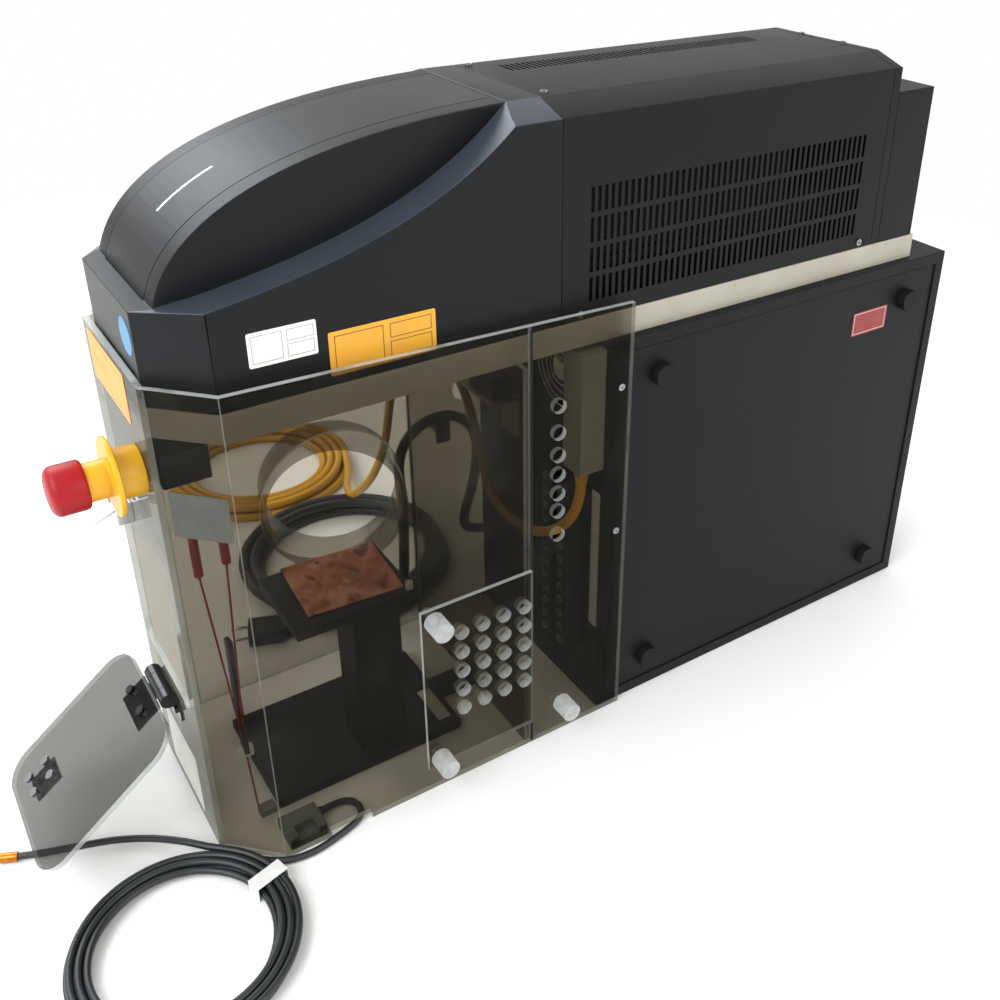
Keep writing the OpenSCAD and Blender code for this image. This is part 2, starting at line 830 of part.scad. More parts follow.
galvo_plate_t = 6;
galvo_margin = 4;
galvo_y_lead = 21;
galvo_foot = 46;
beam_hole_r = 8;
module galvo_block() {
  plate_low = beam_z + galvo_x_rise;
  plate_x = beam_x + galvo_y_lead;
  wing = galvo_r + galvo_margin;
  placed() color([0.28, 0.29, 0.31]) difference() {
    union() {
      block([plate_x, -galvo_foot, floor_z + bench_h],
        [plate_x + galvo_plate_t, galvo_foot, plate_low + galvo_plate_t]);
      block([beam_x - wing, -beam_side - wing, plate_low],
        [plate_x + galvo_plate_t, wing, plate_low + galvo_plate_t]);
      bar_x([plate_x, 0, beam_z], galvo_len, galvo_r);
      bar_z([beam_x, -beam_side, plate_low], galvo_len, galvo_r);
    }
    bar_x([plate_x - over, 0, beam_z], galvo_len / 2, galvo_shaft_r + run);
    bar_x([plate_x - over, -beam_side, beam_z], galvo_plate_t + 2 * over, beam_hole_r);
    bar_z([beam_x, -beam_side, plate_low - over], galvo_len / 2, galvo_shaft_r + run);
  }
}

module x_mirror() {
  shaft_low = beam_z + mirror_len / 2 - over;
  placed() color([0.9, 0.8, 0.45]) {
    translate([beam_x, -beam_side, beam_z]) rotate([0, 0, 45])
      cube([mirror_t, mirror_w, mirror_len], center = true);
    bar_z([beam_x, -beam_side, shaft_low], galvo_len / 4 + galvo_x_rise - mirror_len / 2,
      galvo_shaft_r);
  }
}

module y_mirror() {
  shaft_x = beam_x + mirror_len / 2 - over;
  placed() color([0.9, 0.8, 0.45]) {
    translate([beam_x, 0, beam_z]) rotate([45, 0, 0])
      cube([mirror_len, mirror_t, mirror_w], center = true);
    bar_x([shaft_x, 0, beam_z], galvo_len / 4 + galvo_y_lead - mirror_len / 2,
      galvo_shaft_r);
  }
}

lens_wall = 6;
lens_flange = 6;
lens_flange_t = 4;
module scan_lens() {
  low = base_z - lens_drop;
  placed() {
    color([0.1, 0.1, 0.11]) difference() {
      union() {
        bar_z([beam_x, 0, low], lens_h, lens_r);
        bar_z([beam_x, 0, base_z - lens_flange_t], lens_flange_t,
          lens_r + lens_flange);
      }
      bar_z([beam_x, 0, low - over], lens_h + 2 * over, lens_r - lens_wall);
    }
    color([0.8, 0.75, 0.5])
      bar_z([beam_x, 0, low + lens_wall], lens_wall, lens_r - lens_wall - run);
  }
}

// A square fan frame on its own axis along X, with a spider that carries the rotor
spider_w = 5;
spider_t = 4;
fan_wall = 4;
fan_hub_share = 0.34;
fan_pin_r = 3;
module fan_frame(w) {
  hub_r = fan_hub_share * w / 2;
  difference() {
    block([0, -w / 2, -w / 2], [fan_depth, w / 2, w / 2]);
    bar_x([-over, 0, 0], fan_depth + 2 * over, w / 2 - fan_wall);
  }
  difference() {
    union() {
      bar_x([fan_depth - spider_t, 0, 0], spider_t, hub_r);
      for (a = [45, 135])
        rotate([a, 0, 0])
          block([fan_depth - spider_t, -spider_w / 2, -w / 2 + fan_wall / 2],
            [fan_depth, spider_w / 2, w / 2 - fan_wall / 2]);
    }
    bar_x([fan_depth - spider_t - over, 0, 0], spider_t + 2 * over, fan_pin_r + run);
  }
}

blade_t = 1.6;
blade_tilt = 38;
module fan_rotor(w) {
  hub_r = fan_hub_share * w / 2;
  blade_r = w / 2 - fan_wall - over;
  blade_w = fan_depth - spider_t - 4 * over;
  bar_x([over, 0, 0], fan_depth - spider_t - 2 * over, hub_r);
  bar_x([over, 0, 0], fan_depth - over, fan_pin_r);
  for (i = [0 : fan_blades - 1])
    rotate([i * 360 / fan_blades, 0, 0])
      translate([fan_depth / 2 - spider_t / 2, 0, 0]) rotate([0, 0, blade_tilt])
        translate([-blade_w / 2, -blade_t / 2, hub_r - over])
          cube([blade_w, blade_t, blade_r - hub_r]);
}

module in_head_fan() {
  translate([head_fan_x, 0, floor_z + head_fan_w / 2]) children();
}

module head_fan() {
  placed() color([0.1, 0.1, 0.1]) in_head_fan() fan_frame(head_fan_w);
}

module head_rotor() {
  placed() color([0.16, 0.16, 0.17]) in_head_fan() fan_rotor(head_fan_w);
}

// The clear screen: each sheet is cut from the screen's plan, under its sloping top edge
mitre = sheet * tan(22.5);
front_half = screen_half - screen_corner;
module clear_sheet(plan) {
  color([0.6, 0.63, 0.6, 0.35]) intersection() {
    linear_extrude(screen_h) polygon(plan);
    side_profile([[-over, 0], [-over, screen_h], [0, screen_h],
      [screen_end + over, screen_h - screen_fall], [screen_end + over, 0]],
      -screen_half - over, screen_half + over);
  }
}

stop_hole_r = 11.3;
module front_wall() {
  placed() difference() {
    clear_sheet([[0, -front_half], [0, front_half], [sheet, front_half - mitre],
      [sheet, -front_half + mitre]]);
    translate([-over, door_hole_y, door_hole_z + door_hole_h / 2]) rotate([90, 0, 90])
      linear_extrude(sheet + 2 * over) round_rect(door_hole_w, door_hole_h, door_corner);
    bar_x([-over, -stop_y, stop_z], sheet + 2 * over, stop_hole_r);
  }
}

module corner_panels() {
  placed() for (j = [-1, 1])
    clear_sheet([[0, j * front_half], [screen_corner, j * screen_half],
      [screen_corner + mitre, j * screen_in], [sheet, j * (front_half - mitre)]]);
}

function side_plan(j) = [[screen_corner, j * screen_half], [joint_x, j * screen_half],
  [joint_x, j * screen_in], [screen_corner + mitre, j * screen_in]];

vent_hole_x = 216;
vent_hole_z = 82;
module vent_holes(y_low, y_high) {
  for (i = [0 : vent_columns - 1], j = [0 : vent_rows - 1])
    bar_y([vent_hole_x + i * vent_pitch, y_low, vent_hole_z + j * vent_pitch],
      y_high - y_low, vent_hole_r);
}

peg_x = 189;
peg_low = 39;
peg_rise = 152;
peg_back_x = 321;
peg_back_z = 34;
peg_place = [[peg_x, peg_low], [peg_x, peg_low + peg_rise]];
module peg_holes(y_low, y_high) {
  for (p = concat(peg_place, [[peg_back_x, peg_back_z]]))
    bar_y([p[0], y_low, p[1]], y_high - y_low, peg_shank_r + gap);
}

cable_slot_x = 84;
cable_slot_w = 38;
module near_panel() {
  placed() difference() {
    clear_sheet(side_plan(-1));
    block([cable_slot_x, -screen_half - over, -over],
      [cable_slot_x + cable_slot_w, -screen_in + over, floor_d + over]);
    vent_holes(-screen_half - over, -screen_in + over);
    peg_holes(-screen_half - over, -screen_in + over);
  }
}

module on_port() {
  translate([port_x, screen_half - sheet / 2, port_z]) rotate([0, 0, -port_yaw])
    translate([0, -port_len / 2, 0]) children();
}

module far_panel() {
  placed() difference() {
    clear_sheet(side_plan(1));
    on_port() bar_y([0, -port_len, 0], 3 * port_len, port_r + gap);
  }
}

link_hole_x = 349;
link_hole_z = 266;
link_hole_r = 13.5;
column_shares = [0, 0.19, 0.33, 0.48, 0.63, 0.8, 1];
module rear_panels() {
  placed() difference() {
    for (j = [-1, 1])
      clear_sheet([[joint_x, j * screen_half], [screen_end, j * screen_half],
        [screen_end, j * screen_in], [joint_x, j * screen_in]]);
    for (s = column_shares)
      bar_y([column_x, -screen_half - over, column_z + s * column_span],
        sheet + 2 * over, column_hole_r);
    peg_holes(-screen_half - over, -screen_in + over);
    bar_y([link_hole_x, screen_in - over, link_hole_z], sheet + 2 * over, link_hole_r);
  }
}

module bulkhead() {
  placed() color([0.6, 0.63, 0.6, 0.35])
    block([joint_x - sheet, -screen_in, 0], [joint_x, screen_in, base_z - gap]);
}

module port_collar() {
  placed() color([0.75, 0.77, 0.75, 0.4]) on_port() difference() {
    bar_y([0, 0, 0], port_len, port_r);
    bar_y([0, -over, 0], port_len + 2 * over, port_r - port_wall);
  }
}

vent_plate_t = 4;
module vent_plate() {
  outside = -screen_half - vent_plate_t;
  placed() color([0.7, 0.72, 0.7, 0.4]) difference() {
    block([vent_plate_x, outside, vent_plate_z],
      [vent_plate_x + vent_plate_len, -screen_half, vent_plate_z + vent_plate_h]);
    vent_holes(outside - over, -screen_half + over);
    peg_holes(outside - over, -screen_half + over);
  }
}

peg_nut_r = 6;
peg_nut_h = 4;
table_peg_r = 3.6;
table_peg_h = 7;
table_peg_inset = 4.4;
module clear_pegs() {
  placed() color([0.85, 0.87, 0.85, 0.5]) {
    for (p = peg_place) {
      bar_y([p[0], -screen_half - vent_plate_t - peg_len, p[1]], peg_len, peg_r);
      bar_y([p[0], -screen_half - vent_plate_t - over, p[1]],
        vent_plate_t + sheet + 2 * over, peg_shank_r);
      bar_y([p[0], -screen_in, p[1]], peg_nut_h, peg_nut_r);
    }
    bar_y([peg_back_x, -screen_half - peg_len, peg_back_z], peg_len, peg_r);
    bar_y([peg_back_x, -screen_half - over, peg_back_z], sheet + 2 * over, peg_shank_r);
    bar_y([peg_back_x, -screen_in, peg_back_z], peg_nut_h, peg_nut_r);
    bar_z([table_x + table_len - table_peg_inset, -post_y + table_peg_inset, table_z],
      table_peg_h, table_peg_r);
  }
}

// The access door. It is drawn shut and then swung open about the hinge's axis.
leaf_t = 1.5;
leaf_h = 26;
hinge_x = -(barrel_r + leaf_t);
knuckle_share = 0.26;
flap_low = hinge_z + barrel_r + gap;
flap_out = gap + flap_t;
module swung_open() {
  translate([hinge_x, 0, hinge_z]) rotate([0, -90 - flap_droop, 0])
    translate([-hinge_x, 0, -hinge_z]) children();
}

bolt_r = 2;
bolt_head_r = 4;
bolt_head_h = 3;
bolt_pitch = 19;
catch_y = 32;
strike_from_tip = 29;
module strike_bolts(x, length, r) {
  mid_z = flap_low + flap_len - strike_from_tip;
  for (i = [-1, 1], j = [-1, 1])
    bar_x([x, catch_y + i * bolt_pitch / 2, mid_z + j * bolt_pitch / 2], length, r);
}

leaf_screw_inset = 8;
module leaf_screws(x, z, length, r) {
  for (j = [-1, 1])
    bar_x([x, door_hole_y + j * (barrel_len / 2 - leaf_screw_inset), z], length, r);
}

module flap() {
  placed() swung_open() color([0.6, 0.63, 0.6, 0.35]) difference() {
    translate([-flap_out, door_hole_y, flap_low + flap_len / 2]) rotate([90, 0, 90])
      linear_extrude(flap_t) round_rect(flap_w, flap_len, flap_corner);
    strike_bolts(-flap_out - over, flap_t + 2 * over, bolt_r + gap);
    leaf_screws(-flap_out - over, flap_low + leaf_h / 2, flap_t + 2 * over, bolt_r + gap);
  }
}

module hinge_leaf() {
  y_low = door_hole_y - barrel_len / 2;
  side_len = knuckle_share * barrel_len;
  placed() color([0.08, 0.08, 0.09]) {
    block([-leaf_t, y_low, hinge_z - leaf_h], [0, y_low + barrel_len, hinge_z]);
    for (y = [y_low, y_low + barrel_len - side_len]) {
      bar_y([hinge_x, y, hinge_z], side_len, barrel_r);
      block([hinge_x, y, hinge_z - barrel_r], [-leaf_t / 2, y + side_len, hinge_z]);
    }
    bar_y([hinge_x, y_low, hinge_z], barrel_len, pin_r);
    leaf_screws(-leaf_t - bolt_head_h, hinge_z - leaf_h / 2 - bolt_head_r, bolt_head_h,
      bolt_head_r);
  }
}

strike_plate_t = 2;
module flap_leaf() {
  y_low = door_hole_y - barrel_len / 2;
  mid_low = y_low + knuckle_share * barrel_len + gap;
  mid_len = barrel_len * (1 - 2 * knuckle_share) - 2 * gap;
  mid_z = flap_low + flap_len - strike_from_tip;
  strike_half = bolt_pitch / 2 + bolt_head_r;
  placed() swung_open() color([0.08, 0.08, 0.09]) {
    difference() {
      union() {
        bar_y([hinge_x, mid_low, hinge_z], mid_len, barrel_r);
        block([-flap_out - leaf_t, mid_low, hinge_z],
          [-flap_out, mid_low + mid_len, flap_low]);
        block([-flap_out - leaf_t, y_low, flap_low],
          [-flap_out, y_low + barrel_len, flap_low + leaf_h]);
      }
      bar_y([hinge_x, mid_low - over, hinge_z], mid_len + 2 * over, pin_r + run);
    }
    leaf_screws(-flap_out - over, flap_low + leaf_h / 2, flap_t + over, bolt_r);
    leaf_screws(-gap, flap_low + leaf_h / 2, bolt_head_h, bolt_head_r);
    block([-flap_out - strike_plate_t, catch_y - strike_half, mid_z - strike_half],
      [-flap_out, catch_y + strike_half, mid_z + strike_half]);
    strike_bolts(-flap_out - over, flap_t + over, bolt_r);
    strike_bolts(-gap, bolt_head_h, bolt_head_r);
  }
}

catch_arm_t = 3;
catch_arm_len = 24;
catch_arm_w = 12;
catch_raise = 68;
catch_lift = 2;
catch_shell = 2;
function catch_low() = flap_low + flap_len + catch_lift;
module catch_body() {
  low = catch_low();
  placed() color([0.85, 0.86, 0.88]) difference() {
    union() {
      block([-catch_shell, catch_y - catch_w / 2, low],
        [0, catch_y + catch_w / 2, low + catch_h]);
      for (j = [0, 1])
        block([-catch_d, catch_y - catch_w / 2 + j * (catch_w - catch_shell), low],
          [0, catch_y - catch_w / 2 + j * (catch_w - catch_shell) + catch_shell,
          low + catch_h]);
    }
    bar_y([-catch_d / 2, catch_y - catch_w, low + catch_h / 2], 2 * catch_w,
      catch_pin_r + run);
  }
}

module catch_lever() {
  pivot_z = catch_low() + catch_h / 2;
  hub_half = catch_w / 2 - catch_shell - gap;
  arm_x = -catch_d / 2 - catch_pin_r - catch_arm_t / 2;
  placed() color([0.8, 0.81, 0.83]) translate([-catch_d / 2, 0, pivot_z])
    rotate([0, catch_raise, 0]) translate([catch_d / 2, 0, -pivot_z]) {
    bar_y([-catch_d / 2, catch_y - catch_w / 2, pivot_z], catch_w, catch_pin_r);
    bar_y([-catch_d / 2, catch_y - hub_half, pivot_z], 2 * hub_half, 2 * catch_pin_r);
    block([arm_x - catch_arm_t / 2, catch_y - catch_arm_w / 2, pivot_z - catch_arm_len],
      [arm_x + catch_arm_t / 2, catch_y + catch_arm_w / 2, pivot_z]);
  }
}

stop_neck_end = 43;
stop_cover = 4;
module stop_button() {
  rim = stop_neck_end - stop_cover;
  placed() color([0.75, 0.08, 0.08]) {
    difference() {
      bar_x([-rim - stop_button_len, -stop_y, stop_z], stop_button_len, stop_button_r);
      bar_x([-rim - stop_cover - stop_travel - gap, -stop_y, stop_z],
        stop_cover + stop_travel + gap + over, stop_neck_r + gap);
    }
    bar_x([-rim - stop_button_len / 2, -stop_y, stop_z],
      stop_button_len / 2 + rim + sheet + stop_cover, stop_stem_r);
  }
}

contact_block = [36, 34, 28];
module contact_housing() {
  near = sheet + stop_cover;
  color([0.08, 0.08, 0.08]) difference() {
    block([near, -stop_y - contact_block[1] / 2, stop_z - contact_block[2] / 2],
      [near + contact_block[0], -stop_y + contact_block[1] / 2,
      stop_z + contact_block[2] / 2]);
    bar_x([near - over, -stop_y, stop_z], stop_travel + 2 * over, stop_stem_r + gap);
  }
}

module stop_body() {
  placed() color([0.93, 0.72, 0.05]) difference() {
    union() {
      bar_x([-stop_flange_x, -stop_y, stop_z], stop_flange_x, stop_body_r);
      bar_x([-stop_flange_x - stop_cover, -stop_y, stop_z], stop_cover, stop_flange_r);
      bar_x([-stop_neck_end, -stop_y, stop_z], stop_neck_end - stop_flange_x, stop_neck_r);
      bar_x([-over, -stop_y, stop_z], sheet + over + stop_cover, stop_hole_r - gap);
    }
    bar_x([-stop_neck_end - over, -stop_y, stop_z], 2 * stop_neck_end, stop_stem_r + run);
  }
  placed() contact_housing();
}

foot_tongue = [30, 4];
module fixture_base() {
  placed() color([0.12, 0.12, 0.13]) {
    block([foot_x, -foot_w / 2, 0], [foot_x + foot_len, foot_w / 2, foot_h]);
    block([foot_x + foot_len - over, -foot_tongue[0] / 2, 0],
      [joint_x - sheet, foot_tongue[0] / 2, foot_tongue[1]]);
  }
}

module fixture_stand() {
  placed() color([0.1, 0.1, 0.11]) {
    block([post_x, -post_y, foot_h], [post_x + post_len, -post_y + post_w, table_z]);
    block([table_x, -post_y, table_z - table_t],
      [table_x + table_len, -post_y + table_w, table_z]);
  }
}

plate_x = 159;
plate_y = 2;
plate_hole_r = 1.7;
plate_hole_shares = [-0.13, 0.4];
module work_plate() {
  placed() color([0.62, 0.4, 0.3])
    translate([plate_x, plate_y, table_z]) rotate([0, 0, plate_yaw]) difference() {
      block([-plate_len / 2, -plate_w / 2, 0], [plate_len / 2, plate_w / 2, plate_t]);
      bar_z([plate_hole_shares[0] * plate_len, plate_hole_shares[1] * plate_w, -over],
        plate_t + 2 * over, plate_hole_r);
    }
}

// Places on the inner face of the near corner sheet: along it, away from it and up
module on_corner() {
  translate([screen_corner / 2, -screen_half + screen_corner / 2, 0]) rotate([0, 0, -45])
    translate([0, sheet, 0]) children();
}

tape_w = 46;
tape_h = 38;
tape_t = 0.4;
tape_z = 318;

// A straight round bar between two points
module link_bar(a, b, r) {
  d = b - a;
  translate(a) rotate([0, acos(d[2] / norm(d)), atan2(d[1], d[0])])
    cylinder(h = norm(d), r = r, $fn = 8);
}

clip_r = 3.5;
clip_len = 44;
clip_side = 12;
clip_over = 8;
clip_lag = 16;
lead_r = 0.9;
lead_end = [36, -62, 84];
tie_size = [12, 6, 9];
strip_size = [4, 10, 118];
plug_size = [14, 10, 7];
plug_at = [41, -61, 0];
module test_leads() {
  near = tape_t + clip_r;
  root = [screen_corner / 2, -screen_half + screen_corner / 2, 0]
    + (sheet + near) * [cos(45), sin(45), 0];
  along = [cos(45), -sin(45), 0];
  tops = [
    for (i = [-1, 1])
      root + i * clip_side * along + [0, 0, tape_z + clip_over + (i > 0 ? clip_lag : 0)]
  ];
  placed() {
    color([0.5, 0.52, 0.52]) on_corner()
      block([-tape_w / 2, 0, tape_z], [tape_w / 2, tape_t, tape_z + tape_h]);
    color([0.8, 0.12, 0.2]) for (p = tops) {
      bar_z(p - [0, 0, clip_len], clip_len, clip_r);
      link_bar(p - [0, 0, clip_len - over], lead_end + [0, 0, tie_size[2] / 2], lead_r);
    }
    color([0.8, 0.12, 0.2])
      link_bar(lead_end, plug_at + plug_size / 2 + [-plug_size[0] / 2, 0, 0], lead_r);
    color([0.85, 0.85, 0.82])
      translate(lead_end - tie_size / 2) cube(tie_size);
    color([0.08, 0.08, 0.09])
      translate(lead_end + [-strip_size[0] / 2, -strip_size[1] / 2, 0]) cube(strip_size);
    color([0.35, 0.36, 0.36]) translate(plug_at) cube(plug_size);
  }
}

rack_lap = 6;
gland_x = 458;
gland_z = 30;
gland_r = 9;
gland_len = 16;
module controller_case() {
  shell_x = rack_x + rack_wall;
  placed() color([0.09, 0.1, 0.1]) difference() {
    union() {
      block([shell_x, -rack_half, 0], [rack_end, rack_half, rack_h]);
      bar_y([gland_x, rack_half - over, gland_z], gland_len + over, gland_r);
    }
    block([shell_x - over, -rack_half + rack_wall, rack_wall],
      [rack_end - rack_wall, rack_half - rack_wall, rack_h - rack_wall]);
    block([rack_x + side_margin, -rack_half - over, side_margin],
      [rack_end - side_margin, -rack_half + rack_wall + over, rack_h - side_margin]);
  }
}

module controller_side_plate() {
  inset = side_margin - rack_lap;
  placed() color([0.1, 0.11, 0.11])
    block([rack_x + inset, -rack_half + rack_wall, inset],
      [rack_end - inset, -rack_half + 2 * rack_wall, rack_h - inset]);
}

module controller_feet() {
  placed() color([0.35, 0.36, 0.36])
    for (i = [0, 1], j = [0, 1])
      bar_y([rubber_x + i * rubber_pitch, -rack_half - rubber_h,
        rubber_z + j * rubber_pitch], rubber_h + rack_wall, rubber_r);
}

rack_fan_y = -40;
rack_fan_z = 346;
key_y = 60;
key_z = 350;
key_plug_r = 7;
key_ring_r = 11;
key_ring_len = 8;
strip_cover = [25, 27, 116];
strip_cover_at = [-107, 274];
slot_vents = [14, 2, 3];
slot_vents_at = [-69, 258];
bracket_t = 3;
bracket = [34, 80, 29];
bracket_at = [28, 284];
socket_block = [22, 44, 26];
bracket_tail = [34, 44];
module controller_front() {
  placed() {
    color([0.12, 0.13, 0.13]) difference() {
      block([rack_x, -rack_half, 0], [rack_x + rack_wall, rack_half, rack_h]);
      bar_x([rack_x - over, rack_fan_y, rack_fan_z], rack_wall + 2 * over,
        rack_fan_w / 2 - fan_wall);
      bar_x([rack_x - over, key_y, key_z], rack_wall + 2 * over, key_plug_r + run);
      for (i = [0 : slot_vents[2] - 1])
        translate([rack_x - over, slot_vents_at[0], slot_vents_at[1]
          + 2 * i * slot_vents[1]])
          cube([rack_wall + 2 * over, slot_vents[0], slot_vents[1]]);
    }
    color([0.7, 0.7, 0.72]) difference() {
      bar_x([rack_x - key_ring_len, key_y, key_z], key_ring_len, key_ring_r);
      bar_x([rack_x - key_ring_len - over, key_y, key_z], key_ring_len + 2 * over,
        key_plug_r + run);
    }
    color([0.55, 0.57, 0.5])
      block([rack_x - strip_cover[0], strip_cover_at[0], strip_cover_at[1]],
        [rack_x, strip_cover_at[0] + strip_cover[1],
        strip_cover_at[1] + strip_cover[2]]);
    color([0.6, 0.6, 0.58]) {
      block([rack_x - bracket[0], bracket_at[0], bracket_at[1]],
        [rack_x, bracket_at[0] + bracket[1], bracket_at[1] + bracket_t]);
      block([rack_x - bracket_t, bracket_at[0], bracket_at[1] - bracket_tail[1]],
        [rack_x, bracket_at[0] + bracket_tail[0], bracket_at[1]]);
      block([rack_x - bracket[0] + bracket_t, bracket_at[0] + bracket_t,
        bracket_at[1] + bracket_t],
        [rack_x - bracket[0] + bracket_t + socket_block[0],
        bracket_at[0] + bracket_t + socket_block[1],
        bracket_at[1] + socket_block[2]]);
    }
  }
}

terminal_low = 60;
terminal_h = 190;
terminal_w = 17;
terminal_d = 18;
terminal_screw_r = 3.4;
terminal_screw_h = 1.2;
terminal_places = [-78, -53];
module terminal_blocks() {
  row = terminal_h / terminal_rows;
  placed() {
    color([0.05, 0.05, 0.06]) for (y = terminal_places)
      block([rack_x - terminal_d, y, terminal_low],
        [rack_x, y + terminal_w, terminal_low + terminal_h]);
    color([0.7, 0.7, 0.72]) for (y = terminal_places, i = [0 : terminal_rows - 1])
      translate([rack_x - terminal_d - terminal_screw_h, y + terminal_w / 2,
        terminal_low + (i + 0.5) * row])
        rotate([0, 90, 0])
        cylinder(h = terminal_screw_h, r = terminal_screw_r, $fn = 8);
  }
}

guard_t = 1.6;
guard_shares = [0.42, 0.6, 0.78, 0.95];
guard_hub_share = 0.3;
module in_rack_fan(x) {
  translate([x, rack_fan_y, rack_fan_z]) children();
}

module controller_fan() {
  placed() {
    color([0.1, 0.1, 0.1]) in_rack_fan(rack_x + rack_wall) fan_frame(rack_fan_w);
    color([0.75, 0.75, 0.77]) in_rack_fan(rack_x - guard_t) {
      for (s = guard_shares)
        difference() {
          rotate([0, 90, 0])
            cylinder(h = guard_t, r = s * rack_fan_w / 2, $fn = 24);
          translate([-over, 0, 0]) rotate([0, 90, 0])
            cylinder(h = guard_t + 2 * over, r = s * rack_fan_w / 2 - guard_t,
              $fn = 24);
        }
      bar_x([0, 0, 0], guard_t, guard_hub_share * rack_fan_w / 2);
      for (a = [45, 135])
        rotate([a, 0, 0])
          block([0, -guard_t / 2, -rack_fan_w / 2 + guard_t / 2],
            [guard_t / 2, guard_t / 2, rack_fan_w / 2 - guard_t / 2]);
    }
  }
}

module controller_rotor() {
  placed() color([0.16, 0.16, 0.17]) in_rack_fan(rack_x + rack_wall) fan_rotor(rack_fan_w);
}

key_bow = [16, 3, 14];
key_tail = 12;
module key_switch() {
  front = rack_x - key_ring_len - gap;
  placed() color([0.78, 0.78, 0.8]) {
    bar_x([front, key_y, key_z], key_ring_len + key_tail, key_plug_r);
    block([front - key_bow[0], key_y - key_bow[1] / 2, key_z - key_bow[2] / 2],
      [front + gap / 2, key_y + key_bow[1] / 2, key_z + key_bow[2] / 2]);
  }
}

supply_size = [215, 64, 130];
supply_at = [470, 24];
supply_lid_t = 3;
supply_lid_share = 0.8;
module power_supply() {
  far = rack_half - rack_wall;
  placed() color([0.6, 0.61, 0.62]) {
    block([supply_at[0], far - supply_size[1], supply_at[1]],
      [supply_at[0] + supply_size[0], far, supply_at[1] + supply_size[2]]);
    block([supply_at[0] + supply_size[0] * (1 - supply_lid_share) / 2,
      far - supply_size[1] - supply_lid_t, supply_at[1] + supply_lid_t],
      [supply_at[0] + supply_size[0] * (1 + supply_lid_share) / 2,
      far - supply_size[1] + over, supply_at[1] + supply_size[2] - supply_lid_t]);
  }
}

// Round cords: a tube drawn along a line of points
function unit(v) = v / norm(v);
function headings(path) = let (n = len(path) - 1) [
  for (i = [0 : n]) unit(path[min(i + 1, n)] - path[max(i - 1, 0)])
];
function side_of(heading) = abs(heading[2]) < 0.9
  ? unit(cross(heading, [0, 0, 1]))
  : unit(cross(heading, [1, 0, 0]));
function sides_along(ways) = [
  for (i = 0, side = side_of(ways[0]); i < len(ways);
    i = i + 1, side = i < len(ways) ? unit(side - (side * ways[i]) * ways[i]) : side)
    side
];

module tube(path, r, sides) {
  ways = headings(path);
  across = sides_along(ways);
  last = len(path) - 1;
  points = [
    for (i = [0 : last], k = [0 : sides - 1])
      let (a = 90 + 360 * k / sides)
      path[i] + r * (cos(a) * across[i] + sin(a) * cross(ways[i], across[i]))
  ];
  walls = [
    for (i = [0 : last - 1], k = [0 : sides - 1])
      let (p = i * sides + k, q = i * sides + (k + 1) % sides)
      each [[p, p + sides, q + sides], [p, q + sides, q]]
  ];
  caps = [
    for (k = [1 : sides - 2])
      each [[0, k, k + 1],
        [last * sides, last * sides + k + 1, last * sides + k]]
  ];
  polyhedron(points = points, faces = concat(walls, caps), convexity = 8);
}

// A coil of two layers: it winds inward on the floor and outward above
coil_rings = 24;
coil_sides = 6;
coil_gap = 0.6;
cord_sides = 8;
function coil_spot(coil, s) = let (
  d = coil[2],
  r = coil[1] - (d + coil_gap) * min(s, coil[3] - s),
  a = coil[4] + coil[5] * 360 * s,
  climb = min(1, max(0, 0.5 + 2 * (s - coil[3] / 2)))
) [coil[0][0] + r * cos(a), coil[0][1] + r * sin(a), d / 2 + (d + coil_gap) * climb];
function coil_way(coil) = coil[5] * [-sin(coil[4]), cos(coil[4]), 0];
function coil_start(coil, out) = coil_spot(coil, 0) - out * coil_way(coil);
function coil_end(coil, out) = coil_spot(coil, coil[3]) + out * coil_way(coil);
function coil_path(coil) = concat([coil_start(coil, coil[2])],
  [for (i = [0 : coil_rings * coil[3]]) coil_spot(coil, i / coil_rings)],
  [coil_end(coil, coil[2])]);
function least_gap(path, d) = min([
  for (i = [0 : len(path) - 1], j = [i + coil_rings / 2 : 1 : len(path) - 1])
    norm(path[i] - path[j])
]) * cos(180 / coil_rings) - d;

module coil(coil_values) {
  path = coil_path(coil_values);
  echo(least_gap = least_gap(path, coil_values[2]));
  placed() tube(path, coil_values[2] / 2, coil_sides);
}

// Each coil: middle, outer radius, cord diameter, turns, angle of both ends, way round
floor_winding = [[-55, -152], floor_coil_r, floor_d, floor_turns, 47, 1];
feed_winding = [[262, 250], feed_coil_r, feed_d, feed_turns, 250, 1];
coil_space = 1.5;
link_middle = feed_winding[0][1] + feed_coil_r + feed_d / 2 + coil_space + link_d / 2
  + link_coil_r;
link_winding = [[248, link_middle], link_coil_r, link_d, link_turns, 340, -1];

// Where the cords run, on their way from the machine
floor_plug_x = 66;
floor_plug_size = [34, 30, 12];
floor_rest = floor_d / 2;
cord_lead = 22;
floor_route = [
  [83, -84, floor_rest], [90, -84, floor_rest], [99, -83.5, floor_rest],
  [108, -85, floor_rest], [114.5, -90, floor_rest], [117, -97, floor_rest],
  [115.5, -104.5, floor_rest], [110, -110.5, floor_rest], [101, -114.5, floor_rest],
  [86, -118.5, floor_rest], [62, -122, floor_rest], [40, -117.5, floor_rest],
  coil_start(floor_winding, cord_lead), coil_start(floor_winding, 2 * floor_d),
  coil_start(floor_winding, floor_d)
];
tail_route = [
  coil_end(floor_winding, floor_d), coil_end(floor_winding, 2 * floor_d),
  coil_end(floor_winding, cord_lead),
  [-24, -58, 9], [-46, -35, 5], [-72, -19, 4.5], [-98, -9, 4.5], [-124, 0, 4.5],
  [-141, 7, 4.5], [-158, 15, 4.5]
];
cord_exit_shares = [0.6, 0.45];
strip_end = [rack_x - cord_exit_shares[0] * strip_cover[0],
  strip_cover_at[0] + cord_exit_shares[1] * strip_cover[1], strip_cover_at[1]];
